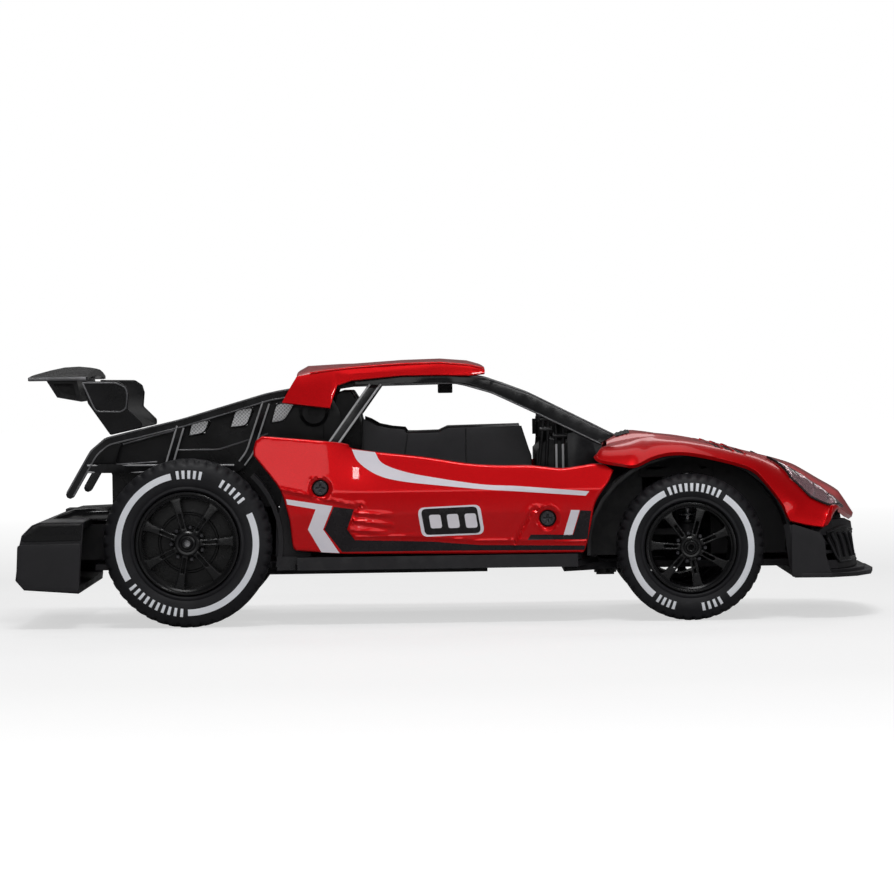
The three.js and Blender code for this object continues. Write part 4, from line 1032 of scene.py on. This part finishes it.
def make_hood():
    mirrored = HOOD_SKIN[:, :0:-1] * (1, -1, 1)
    outer = np.concatenate([mirrored, HOOD_SKIN], axis=1)
    inner = offset_grid(outer, -HOOD_THICKNESS)
    hood = grid_solid(outer.tolist(), inner.tolist(), "candy_red", 50)
    add_bevel(hood, 0.5, 2, 50)
    adopt(hood, "hood_look", "chassis", "hood_shell")
    pair("hood_louvre_slots", lambda: fender_louvres("gloss_black", 0.12, 0.95, 0))
    pair("hood_louvre_lips", lambda: fender_louvres("candy_red", 0.5, 0.3, 0.95))
    vent = [(5.5, 0.0), (5.5, 3.2), (10.2, 2.8), (10.2, 0.0)]
    pair("hood_vent", lambda: hood_patch(vent, 0.25, 0.8, "gloss_black", 6, 6))
    pair("hood_vent_slats", vent_slats)


def make_lamps():
    """A bright bowl under a faceted clear lens, framed in black."""
    first, last = 8 * HOOD_STEPS + 1, 13 * HOOD_STEPS - 2
    corners = [np.array(p, float) for p in ((first, HOOD_CREST + 0.6), (first + 7, HOOD_CREST + 4.6),
                                            (last, HOOD_CREST + 5.0), (last, HOOD_CREST - 3.2))]
    a, b, c, d = corners
    pair("lamp_bowl", lambda: hood_patch(corners, 0.35, 1.0, "lamp_bowl", 14, 8))

    def facets():
        pieces = []
        for start in np.arange(LAMP_FACETS) / LAMP_FACETS:
            u, v = start + LAMP_GAP, start + 1 / LAMP_FACETS - LAMP_GAP
            quad = [a * (1 - u) + d * u, b * (1 - u) + c * u, b * (1 - v) + c * v, a * (1 - v) + d * v]
            pieces.append(hood_patch(quad, 1.25, 0.75, "lens", 4, 5, crown=0.5))
        return joined(pieces)
    pair("headlight_look", facets, node="headlight_{side}")

    def frame():
        pieces = []
        for p, q in ((a, b), (b, c), (c, d), (d, a)):
            line = [hood_point(*(p * (1 - t) + q * t), 0.7) for t in np.linspace(0, 1, 14)]
            pieces.append(tube(line, 0.5, "gloss_black"))
        return joined(pieces)
    pair("lamp_frame", frame)


NOSE = [(150.5, -80), (162, -79.5), (169, -74), (176, -58), (180, -36), (182, -14)]
NOSE_TOP = [41, 36.6, 42.6, 42.8, 40.2, 40]
SKIRT = [(148.6, 40.6), (150, 40.9), (161.5, 37.2), (163.4, 34), (163.8, 27), (166.5, 18.1), (148.6, 18.1)]
MOUTH = (1.6, 3.9)


def nose_top(t):
    """The height of the bumper's upper edge at a place along the nose."""
    return float(np.interp(t, range(len(NOSE)), NOSE_TOP))


def mouth_edges(t):
    """The intake's lowest and highest z at a place along the nose."""
    low = 24.2 + 10.5 * max(0.0, 2.1 - t) / 0.5
    return low, 37.2 + 2.0 * math.sin(math.pi * (t - MOUTH[0]) / (MOUTH[1] - MOUTH[0]))


def nose_at(t, z, out):
    """A point on the right half of the front bumper's face: t runs along the plan's segments."""
    i = min(int(t), len(NOSE) - 2)
    a, b = np.array(NOSE[i]), np.array(NOSE[i + 1])
    x, y = a + (b - a) * (t - i)
    rake = 2.5 * (z - 21.4) / (nose_top(t) - 21.4)
    along = (b - a) / np.linalg.norm(b - a)
    return (x - rake + along[1] * out, y - along[0] * out, z)


def nose_sheet(name, places, levels, outs, material):
    """A sheet that follows the bumper's face, between two distances out from it."""
    outer, inner = ([[nose_at(t, z, out) for z in levels(t)] for t in places] for out in outs)
    pair(name, lambda: grid_solid(outer, inner, material))


def intake_slats():
    pieces = []
    for k in range(4):
        line = [nose_at(1.85 + 0.45 * k + 0.30 * u, 36.8 - 10.5 * u + 1.6 * math.sin(math.pi * u), 0.8)
                for u in np.linspace(0, 1, 9)]
        pieces.append(tube(line, 0.6, "matte_black"))
    for edge in (0, 1):
        rim = [nose_at(t, mouth_edges(t)[edge], 0.5) for t in np.linspace(*MOUTH, 18)]
        pieces.append(tube(rim, 0.5, "matte_black"))
    return joined(pieces)


def bumper_top():
    """A thin raised plate on the rear bumper, rolled off at its outer edges."""
    xs = [-178.2, -177.7, -168, -159.9, -159.4]
    ys = [-76.5, -76, -40, -10, 0]
    outer = [[(x, y, 46.7 if x in xs[1:-1] and y != ys[0] else 46.45) for y in ys] for x in xs]
    inner = [[(x, y, 46.2) for y in ys] for x in xs]
    return grid_solid(outer, inner, "grey_plastic")


def tow_hump():
    section = [(-176, 46.3), (-173, 48.6), (-166, 50.8), (-150, 51.3), (-148.4, 50.6), (-148.4, 46.3)]
    drops = {-30: 2.2, -29: 0.7, -27: 0.0, 0: 0.0}
    outer = [[(x, y, max(46.3, z - drop)) for x, z in section] for y, drop in drops.items()]
    inner = [[(x, y, 45.9) for x, z in section] for y in drops]
    return grid_solid(outer, inner, "gloss_black")


def make_bumpers():
    sheet("bumper_skirt", rounded(SKIRT, 1.2, 3), -80.35, 1.2, "matte_black", 0.4)
    nose_sheet("bumper_backing", np.linspace(1.2, 4.98, 24), lambda t: np.linspace(34, nose_top(t) + 3.6, 4),
               (-4.2, -5.2), "matte_black")
    nose_sheet("bumper_mouth", np.linspace(*MOUTH, 22), lambda t: np.linspace(*mouth_edges(t), 6),
               (0.35, -0.6), "gloss_black")
    pair("bumper_slats", intake_slats)
    for level, (z0, z1) in enumerate([(25, 41), (49.5, 60)], 1):
        keel = [(64, z0), (64, z1), (147, z1), (147, z0)]
        wall = sheet_solid(keel, -0.6, 1.2, "matte_black", 0.2, 8)
        adopt(wall, f"keel_{level}", "chassis")
    curtain = [(84.5, 61.5), (84.5, 71.5), (100, 72.6), (117, 70), (117, 61.5)]
    gaps = [rounded([(86.5, 65.2), (91, 67.0), (98, 66.2), (92, 65.0)], 0.4, 2),
            rounded([(110, 66.8), (114.6, 65.6), (112, 64.9)], 0.3, 2)]
    sheet("arch_curtain", curtain, -43.6, 0.8, "matte_black", 0.2, holes=gaps)
    lower = [(-187.4, 36.9), (-159.7, 37.3), (-160.9, 15.7), (-184.7, 17.4), (-188.1, 21.7)]
    sheet("rear_bumper_side", rounded(lower, 1.5, 3), -80.9, 1.1, "matte_black", 0.4)
    upper = [(-185.6, 38.2), (-184.8, 40.8), (-180.8, 44.9), (-178.4, 45.9), (-159.1, 45.9), (-159.7, 38.4)]
    sheet("rear_bumper_cheek", rounded(upper, 1.0, 3), -80.4, 0.8)
    pair("rear_bumper_top", bumper_top)
    pair("tow_hump", tow_hump)


# ---------------------------------------------------------------- wheels

OUTER_FACE = 85
SPOKES = 7
REAR_RIM_R = 22.5
WHEELS = {
    "rear": dict(x=-113.5, r=36.6, rim=REAR_RIM_R, width=28.0, first=2.0, ring=(28.5, 31.3),
                 arcs=((102.6, 211), (-90, 25)), marks=((97, -4.7, 5), (59, -5.3, 5), (218, 5.2, 10))),
    "front": dict(x=105.0, r=31.8, rim=19.7, width=26.0, first=22.9, ring=(24.7, 27.4),
                  arcs=((115, 231), (-52.4, 55.7)), marks=((110, -5.3, 10), (237, 5.2, 4), (281, 5.6, 4))),
}
HUB = [(2.35, 7.0), (1.3, 3.4), (1.5, 2.1), (2.1, 1.9), (2.4, 2.2), (2.7, 2.9), (3.4, 3.1), (3.9, 2.5),
       (4.7, 2.4), (5.3, 2.8), (5.5, 3.6), (5.8, 4.6), (5.8, 8.6), (5.4, 14.0), (2.35, 14.6)]
DISC = [(2.4, 17.2), (5, 16.6), (7, 16.6), (7.4, 17.2), (12, 17.2), (12.4, 16.8), (13, 16.8), (13.4, 17.2),
        (19.3, 17.4), (19.3, 18.8), (2.4, 18.8)]
BOLT = [(0.01, 3.9), (0.75, 3.9), (1.0, 4.2), (1.0, 6.5), (0.01, 6.5)]
TREAD_BLOCKS = 44
STEPS_PER_BLOCK = 6


def depth_y(depth):
    """y from a depth under the wheel's outer face."""
    return depth - OUTER_FACE


def wheel_point(w, radius, angle, depth):
    return (w["x"] + radius * math.cos(angle), depth_y(depth), w["r"] + radius * math.sin(angle))


def turned(w, profile, segments, scale=1.0):
    """A builder for a piece turned about the wheel's axle from [radius, depth] points."""
    points = [(r * scale, depth_y(d)) for r, d in profile]
    return lambda: lathe(points, (w["x"], w["r"]), segments, "rim_black")


def tyre_side(w):
    """[radius, depth] from the outer bead to the shoulder."""
    rim, r = w["rim"], w["r"]
    return [(rim + 0.35, 3.0), (rim + 0.5, 1.5), (rim + 1.2, 0.75), (rim + 1.9, 0.85), (rim + 2.3, 1.15),
            (rim + 2.8, 0.8), (rim + 4.2, 0.42), (r - 7.5, 0.3), (r - 5.2, 0.4), (r - 3.9, 0.8),
            (r - 3.3, 1.15), (r - 2.3, 1.5), (r - 1.1, 2.5), (r - 0.35, 3.8)]


def tyre(w):
    """A lathed carcass whose tread and shoulders are cut into blocks."""
    r, width = w["r"], w["width"]
    half = tyre_side(w) + [(r, 5.2), (r, 9.2), (r - 1.1, 9.5), (r - 1.1, 10.5), (r, 10.8)]
    profile = half + [(q, width - d) for q, d in reversed(half)]
    segments = TREAD_BLOCKS * STEPS_PER_BLOCK

    def build():
        verts = []
        for k in range(segments):
            for q, depth in profile:
                from_edge = min(depth, width - depth)
                phase = (k + (3 if from_edge > 9 else 0)) % STEPS_PER_BLOCK
                cut = 0.0
                if q > r - 2.6 and phase < 2:
                    cut = 0.75 if q > r - 1.5 else 0.3
                skew = 0.05 * (from_edge - 5) / 9 if from_edge > 5 else 0
                verts.append(wheel_point(w, q - cut, 2 * math.pi * k / segments + skew, depth))
        return new_object(verts, ring_faces(segments, len(profile)), "rubber", 32)
    return build


def arc_patch(w, r0, r1, a0, a1):
    """A thin white patch on the tyre's side, between two radii and two angles in degrees."""
    radii, depths = zip(*tyre_side(w))
    angles = np.radians(np.linspace(a0, a1, max(2, int(abs(a1 - a0) / 2.5)) + 1))
    outer, inner = [], []
    for r in np.linspace(r0, r1, 5):
        depth = float(np.interp(r, radii, depths))
        for rows, under in ((outer, -0.14), (inner, 0.2)):
            rows.append([wheel_point(w, r, a, depth + under) for a in angles])
    return grid_solid(outer, inner, "ring_white")


def barrel(w):
    r, width = w["rim"], w["width"]
    return [(r, 1.4), (r - 0.2, 0.9), (r - 0.7, 0.7), (r - 1.3, 0.95), (r - 1.5, 1.6), (r - 1.6, 2.6),
            (r - 2.3, 3.2), (r - 2.5, 5.0), (r - 2.9, 11.0), (r - 3.1, 13.6), (r - 2.6, 14.0),
            (r - 2.6, 14.6), (r - 3.1, 15.0), (r - 3.2, 17.0), (r - 2.6, width - 3), (r - 1.6, width - 0.8),
            (r - 0.4, width - 0.7), (r - 0.1, width - 1.2)]


def spoke(w, angle):
    """One slotted spoke, narrow at the hub and flared into the rim."""
    k = w["rim"] / REAR_RIM_R
    half = [(4.4 * k, 1.55), (8 * k, 1.35), (14 * k, 1.55), (18.5 * k, 1.95), (w["rim"] - 2.1, 3.1)]
    slit = rounded([(6.6 * k, -0.5), (13.2 * k, -0.62), (13.2 * k, 0.62), (6.6 * k, 0.5)], 0.4, 3)
    c, s = math.cos(angle), math.sin(angle)
    outline, hole = ([(w["x"] + u * c - v * s, w["r"] + u * s + v * c) for u, v in points]
                     for points in (half + [(u, -v) for u, v in reversed(half)], slit))

    def front(x, z):
        d = math.hypot(x - w["x"], z - w["r"]) / w["rim"]
        return depth_y(3.9 - 0.6 * d + 1.2 * d * d)
    return sheet_solid(outline, front, 3.4, "rim_black", 0.45, 1.2, [hole])


def bolt(w, angle):
    reach = w["rim"] * 0.315
    axle = (w["x"] + reach * math.cos(angle), w["r"] + reach * math.sin(angle))
    return lathe([(r, depth_y(d)) for r, d in BOLT], axle, 6, "dark_steel", 25)


def spoke_circle(w, build, shift=0.0):
    """A builder for one piece per spoke, shifted by a share of the spokes' pitch."""
    angles = [math.radians(w["first"] + 360 / SPOKES * (i + shift)) for i in range(SPOKES)]
    return lambda: joined([build(w, angle) for angle in angles])


def dashes(w, start, step, number):
    """Plain white dashes where the tyre's lettering would be."""
    r0, r1 = w["ring"][0] - 0.3, w["ring"][1] + 0.5
    half = 1.2 * WHEELS["rear"]["r"] / w["r"]
    middles = [start + step * j for j in range(number)]
    return lambda: joined([arc_patch(w, r0, r1, a - half, a + half) for a in middles])


def make_wheels():
    for axle, w in WHEELS.items():
        body = "rear_axle_set" if axle == "rear" else "front_wheel_{side}"
        pair(axle + "_tyre_look", tyre(w), body, axle + "_tyre_{side}")
        pair(axle + "_barrel", turned(w, barrel(w), 96), body, axle + "_rim_{side}")
        pair(axle + "_spokes", spoke_circle(w, spoke), body)
        pair(axle + "_hub", turned(w, HUB, 48, w["rim"] / REAR_RIM_R), body)
        pair(axle + "_hub_bolts", spoke_circle(w, bolt, 0.5), body)
        if axle == "rear":
            pair("rear_disc", turned(w, DISC, 72), body)
        for i, arc in enumerate(w["arcs"]):
            pair(f"{axle}_arc_{i + 1}", lambda: arc_patch(w, *w["ring"], *arc), body)
        for i, marks in enumerate(w["marks"]):
            pair(f"{axle}_marks_{i + 1}", dashes(w, *marks), body)


SPRING = {"x": 105, "y": 53.5, "z0": 43.9, "z1": 57.6, "r": 3.7, "wire": 0.55, "turns": 4.5}
SPRING_STEPS = 120


def coil():
    c = SPRING
    points = []
    low, high = c["z0"] + c["wire"], c["z1"] - c["wire"]
    for i in range(SPRING_STEPS + 1):
        t = i / SPRING_STEPS
        rise = smoothstep(0.08, 0.92, t) * 0.35 + 0.65 * min(1, max(0, (t - 0.08) / 0.84))
        a = 2 * math.pi * c["turns"] * t
        x, y = c["x"] + c["r"] * math.cos(a), -c["y"] + c["r"] * math.sin(a)
        points.append((x, y, low + (high - low) * rise))
    return tube(points, c["wire"], "steel", 10)


def make_springs():
    """Coil springs, each with a mesh of its own."""
    springs = pair("front_spring_look", coil, node="front_spring_{side}")
    for obj, (side, sign) in zip(springs, SIDES):
        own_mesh(obj)


# ---------------------------------------------------------------- build

place_camera()
make_lights()

FLOOR = 6000
corners = [(-FLOOR, -FLOOR, 0), (FLOOR, -FLOOR, 0), (FLOOR, FLOOR, 0), (-FLOOR, FLOOR, 0)]
floor = new_object(corners, [(0, 1, 2, 3)], "rubber")
floor.data.materials[0] = pale_floor()
floor.name = "floor"

# Bevel in millimetres, then the CAD nodes that take this look; {side} stands for both sides.
LOOKS = {
    "gloss_black": (0.6, ["cabin_frame", "rear_frame_{side}", "engine_cover", "wing_blade",
                          "wing_stay_{side}", "seat_{side}", "rearview_mirror", "dashboard", "servo_case",
                          "power_switch", "trim_dial", "spring_seat_{side}"]),
    "matte_black": (0.6, ["front_bumper", "front_splitter", "rear_bumper", "chassis_tray", "front_arches",
                          "electronics_cover", "battery_door", "gearbox_case", "front_subframe",
                          "knuckle_{side}", "tie_rod"]),
    "steel": (0.15, ["rear_axle", "motor_pinion", "motor_can", "axle_bush_{side}", "kingpin_{side}"]),
    "dark_steel": (0.2, ["panel_screw_rear_{side}", "panel_screw_front_{side}"]),
    "nylon": (0.2, ["drive_gear", "servo_horn"]),
    "circuit": (0.2, ["circuit_board"]),
    "cell_wrap": (1.5, ["battery_pack"]),
    "candy_red": (0.6, ["roof_panel"]),
}
for look, (bevel, names) in LOOKS.items():
    for pattern in names:
        for node in dict.fromkeys(pattern.format(side=side) for side, _ in SIDES):
            refined(node, look, bevel)

pair("side_panel_look", side_panel, node="side_panel_{side}")
print_panel()
make_cabin_trim()
make_deck_trim()
make_hood()
make_lamps()
make_bumpers()
make_wheels()
make_springs()
